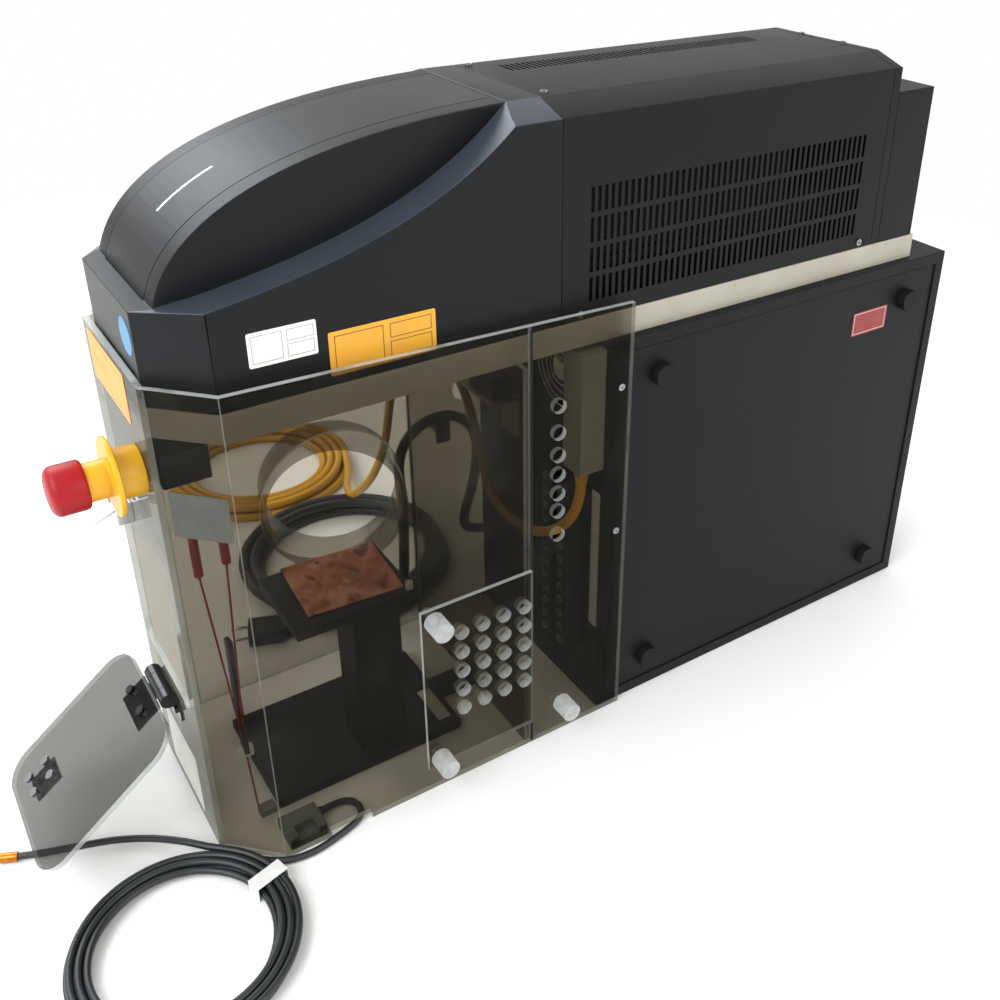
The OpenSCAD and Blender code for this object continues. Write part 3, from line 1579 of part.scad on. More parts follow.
link_route = [
  strip_end, strip_end - [0, 0, 10], [351.5, -94.5, 248], [349, -91, 229], [344.5, -82, 211],
  [340, -66, 196], [338, -45, 184], [338, -20, 176], [338.5, 8, 172], [340, 34, 174],
  [343.5, 56, 184], [346.7, 71.5, 201.5], [348.5, 84.5, 222.5], [349.2, 97.5, 245],
  [348.8, 111.3, 266], [346.2, 126.5, 281.5], [340.2, 143.3, 290], [330.5, 159.5, 289.3],
  [319.5, 173.2, 278.5], [311.3, 184, 259.5], [307.6, 192.8, 235.5], [306.4, 201, 208],
  [306.2, 209.6, 180], [305.4, 220.5, 152], [303.6, 235, 125], [301.7, 253, 99],
  [300.9, 275, 76], [301.5, 297, 57], [304, 318, 43], [308.5, 338.5, 33.5],
  [315, 358.5, 27.5], [323.5, 378.5, 23], [333, 398, 18.5],
  coil_end(link_winding, 1.5 * cord_lead), coil_end(link_winding, 2 * link_d),
  coil_end(link_winding, link_d)
];
gland_end = [gland_x, rack_half + gland_len, gland_z];
feed_route = [
  gland_end, gland_end + [0, 12, 0], [454.5, 154, 30], [444.5, 169, 30], [429.6, 179, 30],
  [412, 182.5, 32], [395, 180, 38], [381, 173, 51], [373, 163, 69], [370, 151, 93],
  [370, 139, 121], [371, 130, 152], [372, 127, 185], [368.5, 127, 202.6],
  [358.5, 127, 217.5], [343.6, 127, 227.5], [326, 127, 231], [308.4, 127, 227.5],
  [293.5, 127, 217.5], [283.5, 127, 202.6], [280, 127, 185], [280, 126.4, 162],
  [279.6, 124, 134], [278.3, 121.4, 108], [276.3, 120, 85], [274.7, 119.8, 61.6],
  [272.5, 120.6, 47.1], [265.9, 123, 34.2], [255.7, 126.7, 24.3], [243.7, 131.1, 18.6],
  coil_end(feed_winding, feed_d)
];
hook_x = 326;
hook_w = 16;
hook_t = 3;
hook_z = 223.5;

module floor_plug() {
  placed() color([0.45, 0.47, 0.47]) translate([floor_plug_x, -screen_in + floor_plug_size[1] / 2, 0])
    difference() {
      translate(-[floor_plug_size[0], floor_plug_size[1], 0] / 2) cube(floor_plug_size);
      translate([-floor_plug_size[0] / 4, -floor_plug_size[1] / 2 - over,
        floor_plug_size[2] / 2])
        cube([floor_plug_size[0] / 2, floor_plug_size[1] / 2, floor_plug_size[2]]);
    }
}

module floor_cable() {
  placed() color([0.06, 0.07, 0.08]) tube(floor_route, floor_d / 2, cord_sides);
}

module floor_coil() {
  color([0.06, 0.07, 0.08]) coil(floor_winding);
}

module floor_tail() {
  placed() color([0.06, 0.07, 0.08]) tube(tail_route, floor_d / 2, cord_sides);
}

tie_at = 15;
tie_w = 14;
tie_t = 0.6;
wrap_len = 15;
wrap_t = 1.2;
module cable_ties() {
  pitch = floor_d + coil_gap;
  inner = floor_coil_r - pitch * floor_turns / 2 - floor_d / 2 - 2 * tie_t;
  outer = floor_coil_r + floor_d / 2 + 2 * tie_t;
  high = 2 * floor_d + coil_gap + tie_t;
  last = tail_route[len(tail_route) - 1];
  way = last - tail_route[len(tail_route) - 2];
  placed() {
    color([0.9, 0.9, 0.88])
      translate([floor_winding[0][0], floor_winding[0][1], 0]) rotate([0, 0, tie_at])
        difference() {
          block([inner - tie_t, -tie_w / 2, 0], [outer + tie_t, tie_w / 2,
            high + tie_t]);
          block([inner, -tie_w / 2 - over, -over], [outer, tie_w / 2 + over, high]);
        }
    color([0.7, 0.42, 0.25]) translate(last - wrap_len * unit(way))
      rotate([0, 90, atan2(way[1], way[0])]) difference() {
        cylinder(h = wrap_len, r = floor_d / 2 + wrap_t, $fn = 24);
        translate([0, 0, -over])
          cylinder(h = wrap_len + 2 * over, r = floor_d / 2 + run, $fn = 24);
      }
    color([0.3, 0.31, 0.32]) {
      block([hook_x - hook_w / 2, screen_half, hook_z - hook_w],
        [hook_x + hook_w / 2, screen_half + hook_t, hook_z + hook_w]);
      block([hook_x - hook_w / 2, screen_half, hook_z - hook_t],
        [hook_x + hook_w / 2, screen_half + hook_w + hook_t, hook_z]);
    }
  }
}

module link_cable() {
  placed() color([0.85, 0.65, 0.13]) tube(link_route, link_d / 2, cord_sides);
}

module link_coil() {
  color([0.85, 0.65, 0.13]) coil(link_winding);
}

module feed_cable() {
  placed() color([0.06, 0.06, 0.07]) tube(feed_route, feed_d / 2, cord_sides);
}

module feed_coil() {
  color([0.06, 0.06, 0.07]) coil(feed_winding);
}

neck_len = 64;
feed_plug_size = [36, 28, 17];
pin_len = 18;
pin_pitch = 19;
feed_pin_r = 2.2;
module feed_plug() {
  way = -coil_way(feed_winding);
  placed() translate(coil_start(feed_winding, feed_d)) rotate([0, 0, atan2(way[1], way[0])]) {
    color([0.06, 0.06, 0.07]) {
      bar_x([0, 0, 0], neck_len + over, feed_d / 2);
      block([neck_len, -feed_plug_size[1] / 2, -feed_d / 2],
        [neck_len + feed_plug_size[0], feed_plug_size[1] / 2,
        feed_plug_size[2] - feed_d / 2]);
    }
    color([0.75, 0.76, 0.78]) for (j = [-1, 1])
      bar_x([neck_len + feed_plug_size[0] - over, j * pin_pitch / 2,
        (feed_plug_size[2] - feed_d) / 2], pin_len + over, feed_pin_r);
  }
}

base_channel();
hood();
arch_panel();
light_pipe();
rear_cover();
rear_cap();
rear_box();
small_screws();
blank_labels();
laser_tube();
rf_driver();
optics_bench();
focus_screw();
focus_carriage();
shutter_flag();
galvo_block();
x_mirror();
y_mirror();
scan_lens();
head_fan();
head_rotor();
front_wall();
corner_panels();
near_panel();
far_panel();
rear_panels();
bulkhead();
port_collar();
vent_plate();
clear_pegs();
flap();
hinge_leaf();
flap_leaf();
catch_body();
catch_lever();
stop_button();
stop_body();
fixture_base();
fixture_stand();
work_plate();
test_leads();
controller_case();
controller_side_plate();
controller_feet();
controller_front();
terminal_blocks();
controller_fan();
controller_rotor();
key_switch();
power_supply();
floor_plug();
floor_cable();
floor_coil();
floor_tail();
cable_ties();
link_cable();
link_coil();
feed_cable();
feed_coil();
feed_plug();
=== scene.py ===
"""Looks of a laser marking machine: finer pieces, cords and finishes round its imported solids."""

import json
import logging
import math
from collections.abc import Callable, Iterable, Sequence
from dataclasses import dataclass
from enum import Enum
from typing import ClassVar

import bmesh
import bpy
from mathutils import Matrix, Vector


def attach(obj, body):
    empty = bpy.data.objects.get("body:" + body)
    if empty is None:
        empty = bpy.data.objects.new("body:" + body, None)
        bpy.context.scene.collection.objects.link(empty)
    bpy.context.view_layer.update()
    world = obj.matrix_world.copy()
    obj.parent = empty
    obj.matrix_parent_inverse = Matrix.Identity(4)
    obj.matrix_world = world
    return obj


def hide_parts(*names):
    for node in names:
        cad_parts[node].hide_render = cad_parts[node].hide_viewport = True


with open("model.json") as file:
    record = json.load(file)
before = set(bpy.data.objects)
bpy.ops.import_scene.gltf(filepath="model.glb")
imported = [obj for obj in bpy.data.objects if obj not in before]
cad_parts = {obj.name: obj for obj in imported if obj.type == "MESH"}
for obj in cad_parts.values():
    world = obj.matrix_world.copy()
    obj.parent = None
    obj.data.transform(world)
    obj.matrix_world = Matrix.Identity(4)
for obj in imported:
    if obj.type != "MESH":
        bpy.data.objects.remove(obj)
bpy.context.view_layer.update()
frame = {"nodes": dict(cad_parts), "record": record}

log = logging.getLogger("laser_marking_machine")

# Metres in a millimetre, the beam's place on the drawing in millimetres, and the frame's ways.
MM = 0.001
BEAM_X = 155.0
REARWARD = Vector((1.0, 0.0, 0.0))
FARWARD = Vector((0.0, 1.0, 0.0))
UP = Vector((0.0, 0.0, 1.0))
WHITE = (1.0, 1.0, 1.0, 1.0)

Place = tuple[float, float, float]
Profile = Sequence[tuple[float, float]]
Picker = Callable[[Vector, Vector], int]
Frames = tuple[tuple[float, float, float, float], ...]
Settings = dict[str, object] | None


def at(x: float, y: float, z: float) -> Vector:
    """Turn a place on the part's drawing, in millimetres, into the frame, in metres."""
    return Vector(((x - BEAM_X) * MM, y * MM, z * MM))


def laid(places: Iterable[Place]) -> list[Vector]:
    """Turn places on the part's drawing into the frame."""
    return [at(*place) for place in places]


def drawn(place: Vector) -> Place:
    """Turn a place in the frame, in metres, back into one on the drawing, in millimetres."""
    return place.x / MM + BEAM_X, place.y / MM, place.z / MM


def hue(code: str) -> tuple[float, float, float, float]:
    """Turn a colour written as six hexadecimal digits into a linear one.

    Args:
        code: red, green and blue, two digits each.

    Returns:
        The linear colour with an alpha of one.
    """
    shares = [int(code[i : i + 2], 16) / 255 for i in (0, 2, 4)]
    linear = [s / 12.92 if s <= 0.04045 else ((s + 0.055) / 1.055) ** 2.4 for s in shares]
    return (linear[0], linear[1], linear[2], 1.0)


# ---------------------------------------------------------------- shader maths


class Value:
    """A shader socket that takes part in sums written in Python."""

    def __init__(self, graph: "Graph", socket: bpy.types.NodeSocket) -> None:
        """Keep the graph and the output socket."""
        self.graph = graph
        self.socket = socket

    def _math(self, operation: str, *terms: "Value | float") -> "Value":
        """Return the result of a Math node with these terms."""
        return self.graph.add("ShaderNodeMath", {"operation": operation}, dict(enumerate(terms)))

    def __add__(self, other: "Value | float") -> "Value":
        """Return self + other."""
        return self._math("ADD", self, other)

    __radd__ = __add__

    def __sub__(self, other: "Value | float") -> "Value":
        """Return self - other."""
        return self._math("SUBTRACT", self, other)

    def __rsub__(self, other: "Value | float") -> "Value":
        """Return other - self."""
        return self._math("SUBTRACT", other, self)

    def __mul__(self, other: "Value | float") -> "Value":
        """Return self * other."""
        return self._math("MULTIPLY", self, other)

    __rmul__ = __mul__

    def __lt__(self, other: "Value | float") -> "Value":
        """Return one where self is less than other."""
        return self._math("LESS_THAN", self, other)

    def __gt__(self, other: "Value | float") -> "Value":
        """Return one where self is greater than other."""
        return self._math("GREATER_THAN", self, other)

    def __abs__(self) -> "Value":
        """Return self without its sign."""
        return self._math("ABSOLUTE", self)

    def most(self, other: "Value | float") -> "Value":
        """Return the greater of self and other."""
        return self._math("MAXIMUM", self, other)

    def between(self, low: float, high: float) -> "Value":
        """Return self spread from nought at low to one at high."""
        return self.graph.add("ShaderNodeMapRange", {"clamp": True}, {0: self, 1: low, 2: high})


class Graph:
    """The nodes of one material or world."""

    def __init__(self, owner: bpy.types.Material | bpy.types.World) -> None:
        """Empty the owner's nodes."""
        self.owner = owner
        self.spot: Value | None = None
        owner.use_nodes = True
        owner.node_tree.nodes.clear()

    def add(
        self, kind: str, settings: Settings = None, inputs: dict[int | str, object] | None = None,
        output: int | str = 0,
    ) -> Value:
        """Add one node.

        Args:
            kind: the node's type.
            settings: what is set on the node itself, before its sockets.
            inputs: values or links of its input sockets, by index or name.
            output: the output socket that is returned.

        Returns:
            The chosen output.
        """
        tree = self.owner.node_tree
        node = tree.nodes.new(kind)
        for name, setting in (settings or {}).items():
            setattr(node, name, setting)
        for key, value in (inputs or {}).items():
            if isinstance(value, Value):
                tree.links.new(value.socket, node.inputs[key])
            else:
                node.inputs[key].default_value = value
        return Value(self, node.outputs[output]) if node.outputs else None

    def place(self) -> Value:
        """Return the place on the object."""
        self.spot = self.spot or self.add("ShaderNodeTexCoord", output="Object")
        return self.spot

    def noise(self, scale: float, detail: float = 3.0, stretch: Place = (1, 1, 1)) -> Value:
        """Return cloudy noise.

        Args:
            scale: how many clouds there are in a metre.
            detail: how many finer layers lie on the first.
            stretch: share of the scale along each axis.

        Returns:
            The noise, round a half.
        """
        place = self.place()
        if stretch != (1, 1, 1):
            place = self.add("ShaderNodeMapping", None, {"Vector": place, "Scale": stretch})
        sockets = {"Vector": place, "Scale": scale, "Detail": detail}
        return self.add("ShaderNodeTexNoise", None, sockets)

    def blend(self, share: Value | float, first: object, second: object) -> Value:
        """Return a colour between first and second."""
        sockets = {0: share, 6: first, 7: second}
        return self.add("ShaderNodeMix", {"data_type": "RGBA"}, sockets, 2)

    def relief(self, height: Value, depth: float) -> Value:
        """Return a normal that rises by depth metres with height."""
        sockets = {"Strength": 1.0, "Distance": depth, "Height": height}
        return self.add("ShaderNodeBump", None, sockets)

    def seen(self) -> Value:
        """Return one for what the camera sees, also through clear sheets, and else nought."""
        camera = self.add("ShaderNodeLightPath", output="Is Camera Ray")
        return camera.most(self.add("ShaderNodeLightPath", output="Is Transmission Ray"))

    def skin(self, **sockets: object) -> Value:
        """Return the main shader; underscores stand for the spaces in its sockets' names."""
        named = {key.replace("_", " "): value for key, value in sockets.items()}
        return self.add("ShaderNodeBsdfPrincipled", None, named)

    def close(self, shader: Value) -> bpy.types.Material:
        """Send the shader to the material's output and return the material."""
        self.add("ShaderNodeOutputMaterial", None, {"Surface": shader})
        return self.owner


class Grain(Enum):
    """Way in which the fine lines of a surface run."""

    NONE = (1.0, 1.0, 1.0)
    ALONG_X = (0.03, 1.0, 1.0)
    ALONG_Z = (1.0, 1.0, 0.03)


class Finish:
    """What every finish has: a name and a way to make its material."""

    name: str

    def graph(self) -> Graph:
        """Start a material of the finish's name."""
        return Graph(bpy.data.materials.new(self.name))

    def build(self) -> bpy.types.Material:
        """Return the material."""
        raise NotImplementedError


@dataclass(frozen=True)
class Surface(Finish):
    """A solid finish: two colours in clouds, a fine grain, dust and a varied gloss.

    name, colour and second name the finish and its colours; the other fields are the roughness
    and how far it varies, the metal, the clouds' number in a metre and share, the grain's way,
    number, height in metres and share, the share and colour of the dust, the coat, the gloss,
    and the number in a metre of the dust's specks and films.
    """

    name: str
    colour: str
    second: str
    roughness: float = 0.5
    spread: float = 0.12
    metal: float = 0.0
    clouds: float = 14.0
    cloud_share: float = 0.5
    grain: Grain = Grain.NONE
    grain_scale: float = 1100.0
    grain_height: float = 0.00004
    grain_share: float = 0.12
    dust: float = 0.0
    dust_colour: str = "8b8880"
    coat: float = 0.0
    level: float = 0.5
    speck_scale: float = 650.0
    film_scale: float = 5.0

    def build(self) -> bpy.types.Material:
        """Return the material."""
        graph = self.graph()
        broad = graph.noise(self.clouds, 4.0)
        fine = graph.noise(self.grain_scale, 2.0, self.grain.value)
        share = broad.between(0.35, 0.68) * self.cloud_share + (fine - 0.5) * self.grain_share
        colour = graph.blend(share, hue(self.colour), hue(self.second))
        rough = self.roughness + (broad - 0.5) * self.spread + (fine - 0.5) * self.spread
        if self.dust:
            specks = graph.noise(self.speck_scale, 1.0).between(0.68, 0.76)
            film = graph.noise(self.film_scale, 5.0).between(0.42, 0.75)
            veil = specks * film * self.dust
            colour = graph.blend(veil, colour, hue(self.dust_colour))
            rough = rough + veil * 0.3
        return graph.close(graph.skin(
            Base_Color=colour, Roughness=rough, Metallic=self.metal, Coat_Weight=self.coat,
            Coat_Roughness=0.12, Specular_IOR_Level=self.level,
            Normal=graph.relief(fine, self.grain_height),
        ))


@dataclass(frozen=True)
class Acrylic(Finish):
    """A clear sheet: tinted light passes it, and its face shines and carries smudges.

    name and tint name the finish and the colour of what passes; body is the colour of its haze,
    haze the share of it that stands everywhere, and smudge how much marks add to it.
    """

    name: str
    tint: str
    body: str
    haze: float = 0.08
    smudge: float = 0.1
    roughness: float = 0.04
    index: float = 1.49

    def build(self) -> bpy.types.Material:
        """Return the material."""
        graph = self.graph()
        marks = graph.noise(26.0, 6.0).between(0.56, 0.8)
        wipes = graph.noise(160.0, 2.0, (1.0, 1.0, 0.08)).between(0.55, 0.8)
        # A back face has the index turned over, so that both faces of a sheet shine alike.
        back = graph.add("ShaderNodeNewGeometry", output="Backfacing")
        index = self.index - back * (self.index - 1 / self.index)
        gleam = graph.add("ShaderNodeFresnel", None, {"IOR": index})
        face = graph.skin(
            Base_Color=graph.blend(marks, hue(self.body), hue("5c5d5a")),
            Roughness=self.roughness + wipes * 0.06, Specular_IOR_Level=0.8,
        )
        passed = graph.add("ShaderNodeBsdfTransparent", None, {"Color": hue(self.tint)})
        share = self.haze + gleam * 0.9 + marks * self.smudge + wipes * (self.smudge * 0.4)
        return graph.close(graph.add("ShaderNodeMixShader", None, {0: share, 1: passed, 2: face}))


@dataclass(frozen=True)
class Patina(Finish):
    """Old copper sheet: bright, pink and dark brown clouds under a fine brushed grain."""

    name: str

    def build(self) -> bpy.types.Material:
        """Return the material."""
        graph = self.graph()
        clouds = graph.noise(38.0, 7.0)
        stains = graph.noise(75.0, 6.0, (1.0, 0.6, 1.0))
        fine = graph.noise(1500.0, 2.0, Grain.ALONG_X.value)
        colour = graph.blend(clouds.between(0.42, 0.6), hue("a2603f"), hue("c98a72"))
        colour = graph.blend(stains.between(0.52, 0.66) * 0.85, colour, hue("54301f"))
        colour = graph.blend(stains.between(0.25, 0.4) * -1.0 + 1.0, colour, hue("d9a793"))
        return graph.close(graph.skin(
            Base_Color=colour, Roughness=0.36 + stains.between(0.4, 0.7) * 0.25, Metallic=0.75,
            Normal=graph.relief(fine + clouds, 0.00006),
        ))


@dataclass(frozen=True)
class Film(Finish):
    """A blank adhesive label: even film, a faint print grain and plain frame lines.

    The label lies round middle, in metres, across the axis named first and up the one named
    second. Each frame is its middle and half sizes as shares of the label's half sizes.
    """

    name: str
    colour: str
    ink: str
    middle: Place
    axes: tuple[int, int]
    half: tuple[float, float]
    frames: Frames = ()
    line: float = 0.0007

    def build(self) -> bpy.types.Material:
        """Return the material."""
        graph = self.graph()
        across, up = (
            graph.add("ShaderNodeSeparateXYZ", None, {0: graph.place()}, "XYZ"[a])
            - self.middle[a]
            for a in self.axes
        )
        broad = graph.noise(60.0, 4.0)
        fine = graph.noise(2200.0, 1.0)
        colour = graph.blend(broad.between(0.3, 0.75) * 0.15, hue(self.colour), hue("8f8a7d"))
        for middle_u, middle_v, wide, high in self.frames:
            out_u = abs(across - middle_u * self.half[0]) - wide * self.half[0]
            out_v = abs(up - middle_v * self.half[1]) - high * self.half[1]
            edge = out_u.most(out_v)
            mark = (edge > -self.line) * (edge < 0.0)
            colour = graph.blend(mark * 0.85, colour, hue(self.ink))
        return graph.close(graph.skin(
            Base_Color=colour, Roughness=0.38 + broad * 0.15,
            Normal=graph.relief(fine + broad, 0.00003),
        ))


@dataclass(frozen=True)
class PaintedGlow(Finish):
    """A milky light guide with a painted glow: a faint emission brightens it, though it is no
    lamp.
    """

    name: str
    colour: str
    strength: float = 0.35

    def build(self) -> bpy.types.Material:
        """Return the material."""
        graph = self.graph()
        cloud = graph.noise(140.0, 3.0)
        colour = graph.blend(cloud.between(0.35, 0.7) * 0.4, hue(self.colour), hue("c9d4d6"))
        # The emission is a painted glow: the plastic is no lamp.
        return graph.close(graph.skin(
            Base_Color=colour, Roughness=0.3 + cloud * 0.1, Emission_Color=colour,
            Emission_Strength=self.strength,
        ))


@dataclass(frozen=True)
class PaleFloor(Finish):
    """A pale floor that keeps the machine's shadow and turns plain white further out.

    colour is the floor's; near and far are the distances in metres between which it fades.
    """

    name: str
    colour: str = "f4f4f2"
    near: float = 0.9
    far: float = 1.9

    def build(self) -> bpy.types.Material:
        """Return the material."""
        graph = self.graph()
        out = graph.add(
            "ShaderNodeVectorMath", {"operation": "LENGTH"}, {0: graph.place()}, "Value"
        )
        floor = graph.skin(
            Base_Color=graph.blend(graph.noise(3.0, 3.0), hue(self.colour), hue("f0f0ee")),
            Roughness=0.8, Specular_IOR_Level=0.1,
        )
        plain = graph.add("ShaderNodeEmission", None, {"Color": WHITE})
        share = out.between(self.near, self.far) * graph.seen()
        return graph.close(graph.add("ShaderNodeMixShader", None, {0: share, 1: floor, 2: plain}))


HOOD_BLACK = Surface(
    "hood_black", "0f1114", "14171b", 0.4, 0.1, clouds=7.0, grain_scale=1500.0,
    grain_height=0.00005, dust=0.15, level=0.19,
)
# A lighter, glossier copy of the hood's black for the ledges' upward faces: painted sheen where
# they catch the light.
LEDGE_PAINTED_SHEEN = Surface(
    "ledge_painted_sheen", "30363e", "3d444d", 0.4, 0.1, clouds=7.0, grain_scale=1500.0,
    grain_height=0.00005, dust=0.15, level=0.45,
)
COVER_BLACK = Surface(
    "cover_black", "0d0f11", "131517", 0.44, 0.1, clouds=9.0, grain_scale=1800.0,
    grain_height=0.00005, dust=0.15, level=0.17,
)
INLAY_BRUSHED = Surface(
    "inlay_brushed", "121417", "212428", 0.38, 0.16, metal=0.35, clouds=6.0,
    grain=Grain.ALONG_X, grain_scale=2600.0, grain_height=0.00004, grain_share=0.7,
    level=0.22,
)
CHANNEL_PAINT = Surface(
    "channel_paint", "a9a598", "958f80", 0.5, 0.14, clouds=18.0, grain_height=0.00003,
    dust=0.5, dust_colour="5d584c",
)
CASE_BLACK = Surface(
    "case_black", "0f1113", "15181a", 0.48, 0.1, clouds=5.0, grain_scale=2000.0,
    grain_height=0.00006, dust=0.1, level=0.16,
)
CASE_EDGE = Surface("case_edge", "1d2022", "2a2d2f", 0.38, 0.1, clouds=20.0, dust=0.2)
PANEL_GREY = Surface("panel_grey", "44484a", "36393b", 0.45, 0.12, clouds=16.0, dust=0.2)
BEIGE_STEEL = Surface("beige_steel", "8e8f80", "7d7d6e", 0.45, 0.12, clouds=40.0, dust=0.3)
ALUMINIUM = Surface(
    "aluminium", "b9bbbd", "9fa2a5", 0.34, 0.16, metal=0.95, clouds=30.0,
    grain=Grain.ALONG_X, grain_share=0.5,
)
CHROME = Surface(
    "chrome", "d8dadd", "b3b6ba", 0.16, 0.12, metal=1.0, clouds=60.0, grain_height=0.00001,
)
SCREW_STEEL = Surface(
    "screw_steel", "a4a7aa", "7c7f82", 0.28, 0.14, metal=1.0, clouds=300.0,
)
BLACK_PLASTIC = Surface(
    "black_plastic", "15161a", "202226", 0.48, 0.14, clouds=40.0, dust=0.2,
)
GLOSS_BLACK = Surface("gloss_black", "0e0f11", "17191c", 0.2, 0.1, clouds=50.0, dust=0.15)
RUBBER = Surface(
    "rubber", "0c0d0e", "141516", 0.6, 0.14, clouds=60.0, grain_height=0.00008, level=0.2
)
FIXTURE_BLACK = Surface(
    "fixture_black", "161719", "202123", 0.55, 0.16, clouds=24.0, grain_scale=1600.0,
    grain_height=0.00006, dust=0.4, level=0.25,
)
STOP_RED = Surface(
    "stop_red", "a00c15", "850a11", 0.42, 0.12, clouds=50.0, level=0.3, dust=0.1,
    dust_colour="b05a52",
)
STOP_YELLOW = Surface(
    "stop_yellow", "e0a80c", "c99408", 0.38, 0.12, clouds=45.0, coat=0.08, dust=0.2,
    dust_colour="8a6a20",
)
CORD_BLACK = Surface(
    "cord_black", "1b1e20", "2c3133", 0.42, 0.16, clouds=35.0, grain_height=0.00006, dust=0.3,
)
CORD_YELLOW = Surface(
    "cord_yellow", "d9a41c", "c08a10", 0.36, 0.14, clouds=28.0, grain_height=0.00005, dust=0.35,
    dust_colour="6b5a2a",
)
LEAD_RED = Surface("lead_red", "a81c2c", "7c1220", 0.36, 0.14, clouds=90.0, dust=0.2)
TAPE_GREY = Surface(
    "tape_grey", "83878a", "6d7174", 0.42, 0.2, clouds=60.0, grain=Grain.ALONG_Z,
    grain_height=0.00012, grain_share=0.4,
)
TAPE_WHITE = Surface(
    "tape_white", "e4e5e2", "c4c6c2", 0.4, 0.16, clouds=90.0, grain_height=0.00012,
)
PLUG_GREY = Surface("plug_grey", "6d7272", "585d5d", 0.45, 0.14, clouds=60.0, dust=0.3)
COPPER_WIRE = Surface(
    "copper_wire", "c4792f", "8e4d1b", 0.3, 0.14, metal=0.95, clouds=200.0,
)
BOARD_GREEN = Surface(
    "board_green", "1f5a3a", "174a2e", 0.4, 0.1, clouds=220.0, grain_scale=600.0,
    grain_share=0.6,
)
MIRROR_GOLD = Surface("mirror_gold", "e2b659", "cf9f3f", 0.08, 0.04, metal=1.0, clouds=90.0)
LENS_GOLD = Surface(
    "lens_gold", "a9742d", "8b5a1e", 0.06, 0.04, metal=0.35, clouds=40.0, coat=1.0,
)
STEEL_SHEET = Surface(
    "steel_sheet", "8d9195", "777b7f", 0.4, 0.15, metal=0.9, clouds=26.0, grain=Grain.ALONG_X,
)
CLEAR_SHEET = Acrylic("clear_sheet", "d4d1ca", "2b2a26", 0.02, 0.025)
CLEAR_FLAP = Acrylic("clear_flap", "bfbfbc", "2f302f", 0.08, 0.1)
CLEAR_EDGE = Acrylic("clear_edge", "f4f6f5", "e2e6e4", 0.34, 0.1, 0.12)
CLEAR_KNOB = Acrylic("clear_knob", "fbfcfc", "eef1f0", 0.3, 0.08, 0.06)
LIGHT_GUIDE_PAINTED_GLOW = PaintedGlow("light_guide_painted_glow", "eef4f5")
COPPER_PATINA = Patina("copper_patina")


# ---------------------------------------------------------------- making pieces


